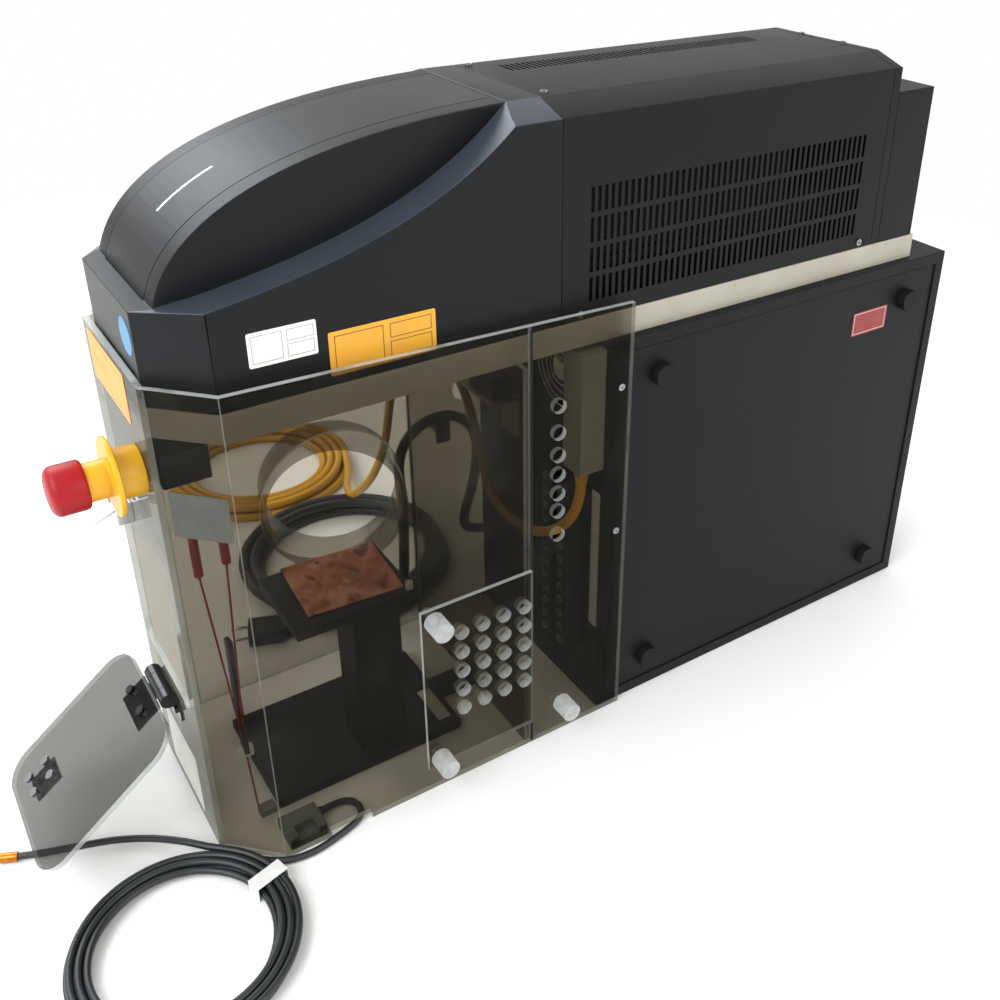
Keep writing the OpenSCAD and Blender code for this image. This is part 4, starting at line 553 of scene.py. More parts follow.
class Workshop:
    """Makes the pieces, keeps one material for each finish and fits pieces to the bodies.

    Points closer than merge metres become one, a radius under tiny millimetres is a point, and a
    rounded corner turns by more than corner_angle. A swept section keeps edges past round_angle.
    """

    merge: float = 2e-6
    tiny: float = 1e-6
    corner_angle: float = math.radians(28)
    round_angle: float = 50.0

    def __init__(self) -> None:
        """Start with no materials made."""
        record = frame["record"]
        self.nodes = frame["nodes"]
        self.body_of = {
            node: body
            for body, members in record["behaviour"]["bodies"].items()
            for node in members
        }
        self.slot_of = {part["node"]: part["material_slot"] for part in record["subparts"]}
        self.made: dict[str, bpy.types.Material] = {}
        self.count = 0

    def material(self, finish: Finish) -> bpy.types.Material:
        """Return the finish's material, made once."""
        if finish.name not in self.made:
            self.made[finish.name] = finish.build()
        return self.made[finish.name]

    def dress(self, obj: bpy.types.Object, *finishes: Finish) -> bpy.types.Object:
        """Give an object these finishes, in slot order, and return it."""
        for finish in finishes:
            obj.data.materials.append(self.material(finish))
        return obj

    def fit(self, obj: bpy.types.Object, *nodes: str) -> bpy.types.Object:
        """Let a piece stand for CAD nodes, ride with the first one's body, and return it."""
        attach(obj, self.body_of[nodes[0]])
        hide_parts(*nodes)
        self.count += 1
        log.info("piece %s for %s", obj.name, ", ".join(nodes))
        return obj

    @staticmethod
    def fix(obj: bpy.types.Object, slot: str) -> bpy.types.Object:
        """Let a piece that stands for no node ride on the machine, and return it."""
        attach(obj, "machine")
        return obj

    @staticmethod
    def solid(name: str, build: bmesh.types.BMesh, sharp: float = 32.0) -> bpy.types.Object:
        """Turn a bmesh into an object with smooth faces and sharp corners.

        Args:
            name: the piece's name.
            build: the mesh, which is freed.
            sharp: angle in degrees from which an edge stays sharp.

        Returns:
            The new object, at the origin.
        """
        mesh = bpy.data.meshes.new(name)
        build.to_mesh(mesh)
        build.free()
        mesh.shade_smooth()
        mesh.set_sharp_from_angle(angle=math.radians(sharp))
        obj = bpy.data.objects.new(name, mesh)
        bpy.context.scene.collection.objects.link(obj)
        return obj

    @staticmethod
    def bake(obj: bpy.types.Object, sharp: float | None = 32.0) -> bpy.types.Object:
        """Turn an object's modifiers into a plain mesh.

        Args:
            obj: the object, whose modifiers are removed.
            sharp: angle in degrees from which an edge stays sharp, or None to leave the shading.

        Returns:
            The same object.
        """
        graph = bpy.context.evaluated_depsgraph_get()
        mesh = bpy.data.meshes.new_from_object(obj.evaluated_get(graph))
        obj.modifiers.clear()
        old, obj.data = obj.data, mesh
        bpy.data.meshes.remove(old)
        if sharp is not None:
            mesh.shade_smooth()
            mesh.set_sharp_from_angle(angle=math.radians(sharp))
        return obj

    def refined(
        self, node: str, finishes: Sequence[Finish], bevel: float = 0.0,
        pick: Picker | None = None, least: float = 22.0, sharp: float = 32.0, name: str = "",
        only: Callable[[Vector], bool] | None = None, join: float = 0.6,
    ) -> bpy.types.Object:
        """Copy a CAD node with rounded corners and let the copy stand for it.

        Args:
            node: the CAD node.
            finishes: finishes in slot order.
            bevel: width of the rounding in millimetres.
            pick: chooses a face's finish from its middle and normal.
            least: least size in millimetres of an outline whose corners are rounded.
            sharp: angle in degrees from which an edge stays sharp.
            name: the piece's name, the node's with _fine if empty.
            only: tells which of the node's faces are copied, by their middles.
            join: angle in degrees up to which neighbouring faces become one, 0 for none.

        Returns:
            The finished piece.
        """
        build = bmesh.new()
        build.from_mesh(self.nodes[node].data)
        if only:
            others = [f for f in build.faces if not only(f.calc_center_median())]
            bmesh.ops.delete(build, geom=others, context="FACES")
        bmesh.ops.remove_doubles(build, verts=build.verts, dist=self.merge)
        if join:
            angle = math.radians(join)
            bmesh.ops.dissolve_limit(
                build, angle_limit=angle, verts=build.verts, edges=build.edges
            )
        if pick:
            for face in build.faces:
                face.material_index = pick(face.calc_center_median(), face.normal)
        if bevel:
            self._mark_corners(build, least * MM)
        obj = self.dress(self.solid(name or f"{node}_fine", build, sharp), *finishes)
        if bevel:
            tool = obj.modifiers.new("round_corners", "BEVEL")
            tool.limit_method, tool.width, tool.segments = "WEIGHT", bevel * MM, 2
            tool.use_clamp_overlap = False
            self.bake(obj, sharp)
        obj.modifiers.new("even_light", "WEIGHTED_NORMAL").keep_sharp = True
        self.bake(obj, None)
        return self.fit(obj, node)

    def _mark_corners(self, build: bmesh.types.BMesh, least: float) -> None:
        """Weight the corners whose outlines are larger than least.

        Args:
            build: the mesh.
            least: least size of an outline in metres.
        """
        weight = build.edges.layers.float.new("bevel_weight_edge")
        corners = {
            e
            for e in build.edges
            if len(e.link_faces) == 2 and e.calc_face_angle(0.0) > self.corner_angle
        }
        while corners:
            chain = [corners.pop()]
            reach = list(chain)
            while reach:
                near = {e for v in reach.pop().verts for e in v.link_edges if e in corners}
                corners -= near
                chain += near
                reach += near
            spots = [v.co for e in chain for v in e.verts]
            spans = [max(s[i] for s in spots) - min(s[i] for s in spots) for i in range(3)]
            if max(spans) > least:
                for edge in chain:
                    edge[weight] = 1.0

    def turned(
        self, name: str, profile: Profile, base: Vector, way: Vector, finish: Finish,
        sides: int = 56, sharp: float = 32.0,
    ) -> bpy.types.Object:
        """Turn a profile about a line, as on a lathe.

        Args:
            name: the piece's name.
            profile: places along the line and radii, in millimetres, in order round the piece.
            base: where the line starts, in metres.
            way: the line's direction.
            finish: its finish.
            sides: number of flats round the piece.
            sharp: angle in degrees from which an edge stays sharp.

        Returns:
            The object, with no body yet.
        """
        build = bmesh.new()
        turn = UP.rotation_difference(way.normalized()).to_matrix()
        rings = []
        for along, radius in profile:
            ring = []
            for i in range(sides if radius > self.tiny else 1):
                a = math.tau * i / sides
                spot = Vector((radius * math.cos(a), radius * math.sin(a), along)) * MM
                ring.append(build.verts.new(base + turn @ spot))
            rings.append(ring)
        closing = rings[:1] if profile[0][1] > self.tiny else []
        for low, high in zip(rings, rings[1:] + closing):
            for i in range(sides):
                j = (i + 1) % sides
                round_face = (low[i % len(low)], low[j % len(low)], high[j % len(high)],
                              high[i % len(high)])
                build.faces.new(list(dict.fromkeys(round_face)))
        bmesh.ops.recalc_face_normals(build, faces=build.faces)
        return self.dress(self.solid(name, build, sharp), finish)

    def plate(
        self, name: str, low: Vector, high: Vector, corner: float, finish: Finish
    ) -> bpy.types.Object:
        """Make a thin plate whose outline has round corners.

        Args:
            name: the piece's name.
            low: lowest corner in metres.
            high: highest corner in metres.
            corner: radius of the outline's corners in millimetres.
            finish: its finish.

        Returns:
            The object, with no body yet.
        """
        size = high - low
        thin = min(range(3), key=lambda i: size[i])
        wide, tall = [i for i in range(3) if i != thin]
        build = bmesh.new()
        outline = []
        radius, steps = corner * MM, 6
        for u, v, start in ((1, 1, 0), (0, 1, 90), (0, 0, 180), (1, 0, 270)):
            for step in range(steps + 1):
                a = math.radians(start + step * 90 / steps)
                spot = low.copy()
                spot[wide] = low[wide] + u * size[wide] + (1 - 2 * u) * radius
                spot[tall] = low[tall] + v * size[tall] + (1 - 2 * v) * radius
                spot[wide] += radius * math.cos(a)
                spot[tall] += radius * math.sin(a)
                outline.append(build.verts.new(spot))
        grown = bmesh.ops.extrude_face_region(build, geom=[build.faces.new(outline)])
        move = Vector()
        move[thin] = size[thin]
        moved = [v for v in grown["geom"] if isinstance(v, bmesh.types.BMVert)]
        bmesh.ops.translate(build, verts=moved, vec=move)
        bmesh.ops.recalc_face_normals(build, faces=build.faces)
        return self.dress(self.solid(name, build), finish)

    def strand(
        self, name: str, path: Sequence[Vector], radius: float, finish: Finish, sides: int = 16
    ) -> bpy.types.Object:
        """Sweep a round section along a path.

        Args:
            name: the piece's name.
            path: points in metres.
            radius: its radius in millimetres.
            finish: its finish.
            sides: number of flats round it.

        Returns:
            The object, with no body yet.
        """
        build = bmesh.new()
        ways = headings(path)
        side = ways[0].cross(UP if abs(ways[0].z) < 0.9 else REARWARD).normalized()
        rings = []
        for i, spot in enumerate(path):
            if i:
                side = ways[i - 1].rotation_difference(ways[i]) @ side
                side = (side - side.dot(ways[i]) * ways[i]).normalized()
            other = ways[i].cross(side)
            angles = (math.tau * k / sides for k in range(sides))
            rings.append([
                build.verts.new(spot + radius * MM * (math.cos(a) * side + math.sin(a) * other))
                for a in angles
            ])
        for low, high in zip(rings, rings[1:]):
            for k in range(sides):
                j = (k + 1) % sides
                build.faces.new((low[k], low[j], high[j], high[k]))
        build.faces.new(list(reversed(rings[0])))
        build.faces.new(rings[-1])
        bmesh.ops.recalc_face_normals(build, faces=build.faces)
        return self.dress(self.solid(name, build, self.round_angle), finish)


def headings(path: Sequence[Vector]) -> list[Vector]:
    """Return the direction of a path at each of its points."""
    last = len(path) - 1
    return [
        (path[min(i + 1, last)] - path[max(i - 1, 0)]).normalized() for i in range(last + 1)
    ]


def smooth(points: Sequence[Vector], step: float) -> list[Vector]:
    """Run a smooth curve through points.

    Args:
        points: the points in metres.
        step: greatest distance between the points that come back.

    Returns:
        Points along the curve, the first and last ones among them.
    """
    ends = [2 * points[0] - points[1], *points, 2 * points[-1] - points[-2]]
    path = [points[0]]
    for a, b, c, d in zip(ends, ends[1:], ends[2:], ends[3:]):
        knots = [0.0]
        for p, q in ((a, b), (b, c), (c, d)):
            knots.append(knots[-1] + max((q - p).length, 1e-9) ** 0.5)
        count = max(1, math.ceil((c - b).length / step))
        for k in range(1, count + 1):
            t = knots[1] + (knots[2] - knots[1]) * k / count
            first = [
                ((knots[i + 1] - t) * p + (t - knots[i]) * q) / (knots[i + 1] - knots[i])
                for i, (p, q) in enumerate(((a, b), (b, c), (c, d)))
            ]
            second = [
                ((knots[i + 2] - t) * first[i] + (t - knots[i]) * first[i + 1])
                / (knots[i + 2] - knots[i])
                for i in range(2)
            ]
            path.append(
                ((knots[2] - t) * second[0] + (t - knots[1]) * second[1])
                / (knots[2] - knots[1])
            )
    return path


def length_of(path: Sequence[Vector]) -> float:
    """Return the length of a path in metres."""
    return sum((q - p).length for p, q in zip(path, path[1:]))


# ---------------------------------------------------------------- repeated pieces


class NodeTree:
    """A Geometry Nodes tree with named inputs, run once to make a plain mesh."""

    sharp: float = 30.0

    def __init__(self, name: str, sizes: dict[str, float]) -> None:
        """Start a tree.

        Args:
            name: the piece's name.
            sizes: the values of its named inputs.
        """
        self.name = name
        self.sizes = sizes
        self.tree = bpy.data.node_groups.new(f"{name}_tree", "GeometryNodeTree")
        face = self.tree.interface
        for way in ("INPUT", "OUTPUT"):
            face.new_socket("Geometry", in_out=way, socket_type="NodeSocketGeometry")
        for key, value in sizes.items():
            kind = "NodeSocketInt" if isinstance(value, int) else "NodeSocketFloat"
            face.new_socket(key, in_out="INPUT", socket_type=kind)
        self.given = self.tree.nodes.new("NodeGroupInput").outputs
        self.result = self.tree.nodes.new("NodeGroupOutput").inputs

    def _feed(self, socket: bpy.types.NodeSocket, value: object) -> None:
        """Link another socket to this one, or set its value."""
        if isinstance(value, bpy.types.NodeSocket):
            self.tree.links.new(value, socket)
        else:
            socket.default_value = value

    def put(self, kind: str, settings: Settings = None, **inputs: object) -> bpy.types.Node:
        """Add a node.

        Args:
            kind: the node's type.
            settings: what is set on the node itself, first.
            inputs: values or sockets, by the input's name with spaces as underscores.

        Returns:
            The node.
        """
        node = self.tree.nodes.new(kind)
        for name, setting in (settings or {}).items():
            setattr(node, name, setting)
        for key, value in inputs.items():
            self._feed(node.inputs[key.replace("_", " ")], value)
        return node

    def extrude(self, **inputs: object) -> bpy.types.Node:
        """Add a node that extrudes faces together."""
        return self.put(
            "GeometryNodeExtrudeMesh", {"mode": "FACES"}, Individual=False, **inputs
        )

    def vector(self, **parts: object) -> bpy.types.NodeSocket:
        """Return a vector with these parts."""
        return self.put("ShaderNodeCombineXYZ", None, **parts).outputs[0]

    def sum(self, operation: str, *terms: object) -> bpy.types.NodeSocket:
        """Add a Math node of that operation and return its result."""
        node = self.put("ShaderNodeMath", {"operation": operation})
        for socket, term in zip(node.inputs, terms):
            self._feed(socket, term)
        return node.outputs[0]

    def on_spots(self, shape: bpy.types.NodeSocket) -> bpy.types.NodeSocket:
        """Set a shape on each seed point, facing its heading, and return the instances."""
        heading = self.put(
            "GeometryNodeInputNamedAttribute", {"data_type": "FLOAT_VECTOR"}, Name="heading"
        )
        turn = self.put(
            "FunctionNodeAlignRotationToVector", {"axis": "Z"}, Vector=heading.outputs[0]
        )
        return self.put(
            "GeometryNodeInstanceOnPoints", None, Points=self.given["Geometry"],
            Instance=shape, Rotation=turn.outputs[0],
        ).outputs[0]

    def run(
        self, shape: bpy.types.NodeSocket, spots: Iterable["Spot"], material: bpy.types.Material
    ) -> bpy.types.Object:
        """Close the tree with a shape on each spot, run it and keep its plain mesh.

        Args:
            shape: the geometry that is repeated.
            spots: where it is put.
            material: its material.

        Returns:
            The object, with no body yet.
        """
        real = self.put("GeometryNodeRealizeInstances", None, Geometry=self.on_spots(shape))
        dressed = self.put(
            "GeometryNodeSetMaterial", None, Geometry=real.outputs[0], Material=material
        )
        self.tree.links.new(dressed.outputs[0], self.result[0])
        obj = bpy.data.objects.new(self.name, Spot.seeds(list(spots)))
        bpy.context.scene.collection.objects.link(obj)
        tool = obj.modifiers.new("repeat", "NODES")
        tool.node_group = self.tree
        for item in self.tree.interface.items_tree:
            if item.in_out == "INPUT" and item.name in self.sizes:
                tool[item.identifier] = self.sizes[item.name]
        return Workshop.bake(obj, self.sharp)


@dataclass(frozen=True)
class Spot:
    """Where a repeated piece sits, in metres, and the way that it faces."""

    place: Vector
    way: Vector

    @staticmethod
    def seeds(spots: Sequence["Spot"]) -> bpy.types.Mesh:
        """Return a mesh of points, each with its heading."""
        mesh = bpy.data.meshes.new("seeds")
        mesh.from_pydata([s.place for s in spots], [], [])
        heading = mesh.attributes.new("heading", "FLOAT_VECTOR", "POINT")
        for item, spot in zip(heading.data, spots):
            item.vector = spot.way
        return mesh


@dataclass
class Repeats:
    """The trees for screws and fan blades.

    socket is the width of a screw's socket as a share of its head, sunk its depth as a share of
    the head's height; chord, camber, thickness and pitch are a blade's width as a share of its
    tip's radius, its bend, its thickness in millimetres and its pitch in degrees.
    """

    shop: Workshop
    head_sides: int = 18
    socket: float = 0.5
    sunk: float = 0.7
    chord: float = 0.46
    camber: float = 14.0
    thickness: float = 1.2
    pitch: float = 34.0

    def screws(
        self, name: str, spots: Iterable[Spot], radius: float, height: float, finish: Finish
    ) -> bpy.types.Object:
        """Make round screw heads, each with a sunk socket.

        Args:
            name: the piece's name.
            spots: where the heads' undersides are.
            radius: radius of a head in millimetres.
            height: height of a head in millimetres.
            finish: their finish.

        Returns:
            The object, with no body yet.
        """
        sizes = {"Radius": radius * MM, "Height": height * MM, "Socket": self.socket}
        tree = NodeTree(name, sizes)
        given = tree.given
        head = tree.put(
            "GeometryNodeMeshCylinder", None, Vertices=self.head_sides, Radius=given["Radius"],
            Depth=given["Height"],
        )
        raised = tree.put(
            "GeometryNodeTransform", None, Geometry=head.outputs["Mesh"],
            Translation=tree.vector(Z=tree.sum("MULTIPLY", given["Height"], 0.5)),
        )
        rim = tree.extrude(
            Mesh=raised.outputs[0], Selection=head.outputs["Top"], Offset_Scale=0.0
        )
        drawn_in = tree.put(
            "GeometryNodeScaleElements", None, Geometry=rim.outputs["Mesh"],
            Selection=rim.outputs["Top"], Scale=given["Socket"],
        )
        sunk = tree.extrude(
            Mesh=drawn_in.outputs[0], Selection=rim.outputs["Top"],
            Offset_Scale=tree.sum("MULTIPLY", given["Height"], -self.sunk),
        )
        return tree.run(sunk.outputs["Mesh"], spots, self.shop.material(finish))

    def blades(
        self, name: str, spot: Spot, count: int, root: float, tip: float, finish: Finish
    ) -> bpy.types.Object:
        """Make the cambered, pitched blades of a fan.

        Args:
            name: the piece's name.
            spot: the middle of the hub and the fan's axis.
            count: number of blades.
            root: radius where a blade starts, in millimetres.
            tip: radius where a blade ends, in millimetres.
            finish: their finish.

        Returns:
            The object, with no body yet.
        """
        tree = NodeTree(name, {
            "Blades": count, "Root": root * MM, "Tip": tip * MM,
            "Chord": self.chord * tip * MM, "Pitch": math.radians(self.pitch),
        })
        given = tree.given
        sheet = tree.put(
            "GeometryNodeMeshGrid", None, Vertices_X=5, Vertices_Y=6, Size_Y=given["Chord"],
            Size_X=tree.sum("SUBTRACT", given["Tip"], given["Root"]),
        )
        place = tree.put("GeometryNodeInputPosition").outputs[0]
        across = tree.put("ShaderNodeSeparateXYZ", None, Vector=place).outputs["Y"]
        camber = tree.sum("MULTIPLY", tree.sum("MULTIPLY", across, across), -self.camber)
        bent = tree.put(
            "GeometryNodeSetPosition", None, Geometry=sheet.outputs[0],
            Offset=tree.vector(Z=camber),
        )
        thick = tree.extrude(Mesh=bent.outputs[0], Offset_Scale=self.thickness * MM)
        middle = tree.sum("MULTIPLY", tree.sum("ADD", given["Tip"], given["Root"]), 0.5)
        pitched = tree.put(
            "GeometryNodeTransform", None, Geometry=thick.outputs["Mesh"],
            Translation=tree.vector(X=middle), Rotation=tree.vector(X=given["Pitch"]),
        )
        number = tree.put("GeometryNodeInputIndex").outputs[0]
        turn = tree.sum("DIVIDE", tree.sum("MULTIPLY", number, math.tau), given["Blades"])
        points = tree.put("GeometryNodePoints", None, Count=given["Blades"])
        wheel = tree.put(
            "GeometryNodeInstanceOnPoints", None, Points=points.outputs[0],
            Instance=pitched.outputs[0], Rotation=tree.vector(Z=turn),
        )
        return tree.run(wheel.outputs[0], [spot], self.shop.material(finish))


# ---------------------------------------------------------------- camera and light


@dataclass(frozen=True)
class PhotoCamera:
    """The camera at the photograph's place and angle.

    place is in metres; right, down and ahead are its axes; lens and sensor are in millimetres.
    """

    place: Place = (-0.29886, -0.78979, 0.79096)
    right: Place = (0.82577583, -0.56378113, 0.01565647)
    down: Place = (-0.25433695, -0.39701971, -0.88186624)
    ahead: Place = (0.50339547, 0.7242418, -0.47123965)
    lens: float = 40.723
    sensor: float = 36.0
    shift: tuple[float, float] = (-0.07046, -0.09297)

    def make(self) -> bpy.types.Object:
        """Make the camera, give it to the scene and return it."""
        data = bpy.data.cameras.new("photo_camera")
        data.sensor_width, data.lens = self.sensor, self.lens
        data.shift_x, data.shift_y = self.shift
        data.clip_start, data.clip_end = 0.01, 50.0
        camera = bpy.data.objects.new("photo_camera", data)
        bpy.context.scene.collection.objects.link(camera)
        turn = Matrix((self.right, [-c for c in self.down], [-c for c in self.ahead]))
        camera.matrix_world = Matrix.Translation(self.place) @ turn.transposed().to_4x4()
        bpy.context.scene.camera = camera
        return camera


@dataclass(frozen=True)
class Lamp:
    """A square soft lamp: its place and target in metres, width, power and colour."""

    name: str
    place: Place
    target: Place
    width: float
    power: float
    colour: Place = (1.0, 1.0, 1.0)

    def make(self) -> None:
        """Make the lamp."""
        data = bpy.data.lights.new(self.name, "AREA")
        data.size, data.energy, data.color = self.width, self.power, self.colour
        lamp = bpy.data.objects.new(self.name, data)
        bpy.context.scene.collection.objects.link(lamp)
        lamp.location = self.place
        way = Vector(self.target) - Vector(self.place)
        lamp.rotation_euler = way.to_track_quat("-Z", "Y").to_euler()


@dataclass(frozen=True)
class Studio:
    """A plain pale floor and soft light. The floor lies floor_drop metres under the machine."""

    ambient: float = 0.95
    floor_half: float = 30.0
    floor_drop: float = 0.0004
    lamps: tuple[Lamp, ...] = (
        Lamp("sky_left", (-2.6, -0.6, 2.6), (0.1, 0.0, 0.35), 2.4, 110.0, (0.94, 0.97, 1.0)),
        Lamp("sky_back", (-0.6, 2.6, 2.5), (0.2, 0.0, 0.4), 2.2, 75.0, (0.93, 0.97, 1.0)),
        Lamp("room_front", (1.6, -3.0, 1.7), (0.2, 0.0, 0.3), 2.0, 36.0, (1.0, 0.98, 0.95)),
    )

    def make(self, shop: Workshop) -> None:
        """Light the scene and lay the floor.

        Args:
            shop: the workshop, for the floor's finish.
        """
        scene = bpy.context.scene
        scene.view_settings.view_transform = "Standard"
        scene.world = bpy.data.worlds.new("studio")
        graph = Graph(scene.world)
        strength = graph.add(
            "ShaderNodeMapRange", None, {0: graph.seen(), 3: self.ambient, 4: 1.0}
        )
        sky = graph.add("ShaderNodeBackground", None, {0: WHITE, 1: strength})
        graph.add("ShaderNodeOutputWorld", None, {0: sky})
        for lamp in self.lamps:
            lamp.make()
        build = bmesh.new()
        bmesh.ops.create_circle(build, cap_ends=True, segments=64, radius=self.floor_half)
        bmesh.ops.translate(build, verts=build.verts, vec=(0.0, 0.0, -self.floor_drop))
        shop.dress(shop.solid("floor", build), PaleFloor("pale_floor"))


# ---------------------------------------------------------------- cords


@dataclass(frozen=True)
class Winding:
    """A flat coil that first winds in and then, one layer higher, winds out again.

    middle is on the drawing; outer is the first turn's radius; angle is where both ends lie, in
    degrees; way is 1 or -1 for the way round; gap is left between turns, and step is the longest
    stretch between two points of the cord outside the coil. All lengths are in millimetres.
    """

    middle: tuple[float, float]
    outer: float
    diameter: float
    turns: int
    angle: float
    way: int
    gap: float = 0.6
    step: float = 10.0

    def spot(self, turn: float) -> Vector:
        """Return the place on the coil after that many turns."""
        pitch = self.diameter + self.gap
        radius = self.outer - pitch * min(turn, self.turns - turn)
        lift = min(1.0, max(0.0, 0.5 + 2 * (turn - self.turns / 2)))
        a = math.radians(self.angle + self.way * 360 * turn)
        return at(
            self.middle[0] + radius * math.cos(a),
            self.middle[1] + radius * math.sin(a),
            self.diameter / 2 + pitch * lift,
        )

    def heading(self) -> Vector:
        """Return the direction of the cord at both ends."""
        a = math.radians(self.angle)
        return Vector((-self.way * math.sin(a), self.way * math.cos(a), 0.0))

    def before(self, out: float) -> Vector:
        """Return the place that many millimetres before the coil."""
        return self.spot(0.0) - out * MM * self.heading()

    def after(self, out: float) -> Vector:
        """Return the place that many millimetres after the coil."""
        return self.spot(float(self.turns)) + out * MM * self.heading()

    def path(self, step: int = 32) -> list[Vector]:
        """Return the coil's points, with that many in a turn."""
        return [self.spot(i / step) for i in range(step * self.turns + 1)]


@dataclass
class Cords:
    """The three free cords: a thin one on the floor, a yellow link and a heavy feed.

    The ways are on the drawing, and lead is the straight stretch before a coil. A sleeve has a
    number of grooves, which narrow it to groove of its radius; the first starts at first of its
    length, all take up grooved of it, and edges says how far from a groove's ends its floor
    starts and stops and its rim begins again. bore is its inner radius as a share.
    """

    shop: Workshop
    lead: float = 22.0
    grooves: int = 4
    groove: float = 0.82
    first: float = 0.12
    grooved: float = 0.8
    edges: Place = (0.25, 0.9, 0.65)
    bore: float = 0.9
    floor: Winding = Winding((-55, -152), 88, 6, 6, 47, 1, step=8.0)
    feed: Winding = Winding((262, 250), 118, 11, 4, 250, 1)
    link: Winding = Winding((248, 493.75), 114, 9.5, 6, 340, -1)
    floor_way: tuple[Place, ...] = (
        (83, -84, 3), (90, -84, 3), (99, -83.5, 3), (108, -85, 3), (114.5, -90, 3),
        (117, -97, 3), (115.5, -104.5, 3), (110, -110.5, 3), (101, -114.5, 3),
        (86, -118.5, 3), (62, -122, 3), (40, -117.5, 3),
    )
    floor_end: tuple[Place, ...] = (
        (-24, -58, 9), (-46, -35, 5), (-72, -19, 4.5), (-98, -9, 4.5), (-124, 0, 4.5),
        (-141, 7, 4.5), (-158, 15, 4.5),
    )
    link_start: Place = (352, -94.85, 274)
    link_way: tuple[Place, ...] = (
        (351.5, -94.5, 248), (349, -91, 229), (344.5, -82, 211), (340, -66, 196),
        (338, -45, 184), (338, -20, 176), (338.5, 8, 172), (340, 34, 174), (343.5, 56, 184),
        (346.7, 71.5, 201.5), (348.5, 84.5, 222.5), (349.2, 97.5, 245), (348.8, 111.3, 266),
        (346.2, 126.5, 281.5), (340.2, 143.3, 290), (330.5, 159.5, 289.3),
        (319.5, 173.2, 278.5), (311.3, 184, 259.5), (307.6, 192.8, 235.5), (306.4, 201, 208),
        (306.2, 209.6, 180), (305.4, 220.5, 152), (303.6, 235, 125), (301.7, 253, 99),
        (300.9, 275, 76), (301.5, 297, 57), (304, 318, 43), (308.5, 338.5, 33.5),
        (315, 358.5, 27.5), (323.5, 378.5, 23), (333, 398, 18.5),
    )
    feed_way: tuple[Place, ...] = (
        (458, 124.5, 30), (458, 136.5, 30), (454.5, 154, 30), (444.5, 169, 30),
        (429.6, 179, 30), (412, 182.5, 32), (395, 180, 38), (381, 173, 51), (373, 163, 69),
        (370, 151, 93), (370, 139, 121), (371, 130, 152), (372, 127, 185),
        (368.5, 127, 202.6), (358.5, 127, 217.5), (343.6, 127, 227.5), (326, 127, 231),
        (308.4, 127, 227.5), (293.5, 127, 217.5), (283.5, 127, 202.6), (280, 127, 185),
        (280, 126.4, 162), (279.6, 124, 134), (278.3, 121.4, 108), (276.3, 120, 85),
        (274.7, 119.8, 61.6), (272.5, 120.6, 47.1), (265.9, 123, 34.2), (255.7, 126.7, 24.3),
        (243.7, 131.1, 18.6),
    )

    def relief(
        self, name: str, base: Vector, way: Vector, size: Place, finish: Finish, slot: str
    ) -> bpy.types.Object:
        """Make a tapered, grooved sleeve where a cord leaves a piece.

        Args:
            name: the piece's name.
            base: where the cord leaves, in metres.
            way: the direction in which it leaves.
            size: the radii at the base and the end, and the length, in millimetres.
            finish: its finish.
            slot: the record's material slot; not used.

        Returns:
            The piece.
        """
        wide, narrow, long = size
        floor_start, floor_stop, rim = self.edges
        profile = [(0.0, narrow * self.bore), (0.0, wide)]
        for i in range(self.grooves):
            start = long * (self.first + self.grooved * i / self.grooves)
            end = start + long * self.grooved / self.grooves
            here, there = (wide + (narrow - wide) * s / long for s in (start, end))
            profile += [(start, here), (start + floor_start, here * self.groove),
                        (end - floor_stop, there * self.groove), (end - rim, there)]
        profile += [(long, narrow), (long, narrow * self.bore)]
        piece = self.shop.turned(name, profile, base, way, finish, sides=28)
        for vert in piece.data.vertices:
            vert.co.z = max(vert.co.z, 0.0)
        return self.shop.fix(piece, slot)

    def cord(
        self, name: str, points: list[Vector], winding: Winding, finish: Finish,
        nodes: Sequence[str],
    ) -> None:
        """Args:
            name: the piece's name.
            points: the points of its whole way in metres, from its exit.
            winding: its coil, for its diameter and step.
            finish: its finish.
            nodes: the CAD nodes that it stands for.
        """
        path = smooth(points, winding.step * MM)
        obj = self.shop.strand(name, path, winding.diameter / 2, finish)
        self.shop.fit(obj, *nodes)
        length_of(path)
        log.info("cord %s is %.2f m long", name, length_of(path))

    def make(self) -> None:
        """Make the cords and what is on them."""
        self.floor_cord()
        self.link_cord()
        self.feed_cord()

    def floor_cord(self) -> None:
        """Make the thin cord from the grey plug, its coil, its ties and the hook."""
        shop, coil, gauge = self.shop, self.floor, self.floor.diameter
        plug = shop.refined("floor_plug", [PLUG_GREY], 0.9)
        tie, wrap, _ = (
            shop.refined("cable_ties", [finish], 0.25, least=8.0, name=name, only=only)
            for name, finish, only in (
                ("coil_tie", TAPE_WHITE, lambda p: -0.28 < p.x < 0.0),
                ("end_wrap", COPPER_WIRE, lambda p: p.x < -0.28),
                ("cord_hook", PANEL_GREY, lambda p: p.x > 0.0),
            )
        )
        route = laid(self.floor_way)
        sleeve = self.relief("floor_relief", route[0], REARWARD, (4.4, 3.3, 7.0), CORD_BLACK,
                             "cord_black")
        route += [coil.before(s) for s in (self.lead, 2 * gauge, gauge)] + coil.path()
        route += [coil.after(s) for s in (gauge, 2 * gauge, self.lead)] + laid(self.floor_end)
        self.cord("floor_cord", route, coil, CORD_BLACK,
                  ("floor_cable", "floor_coil", "floor_tail"))

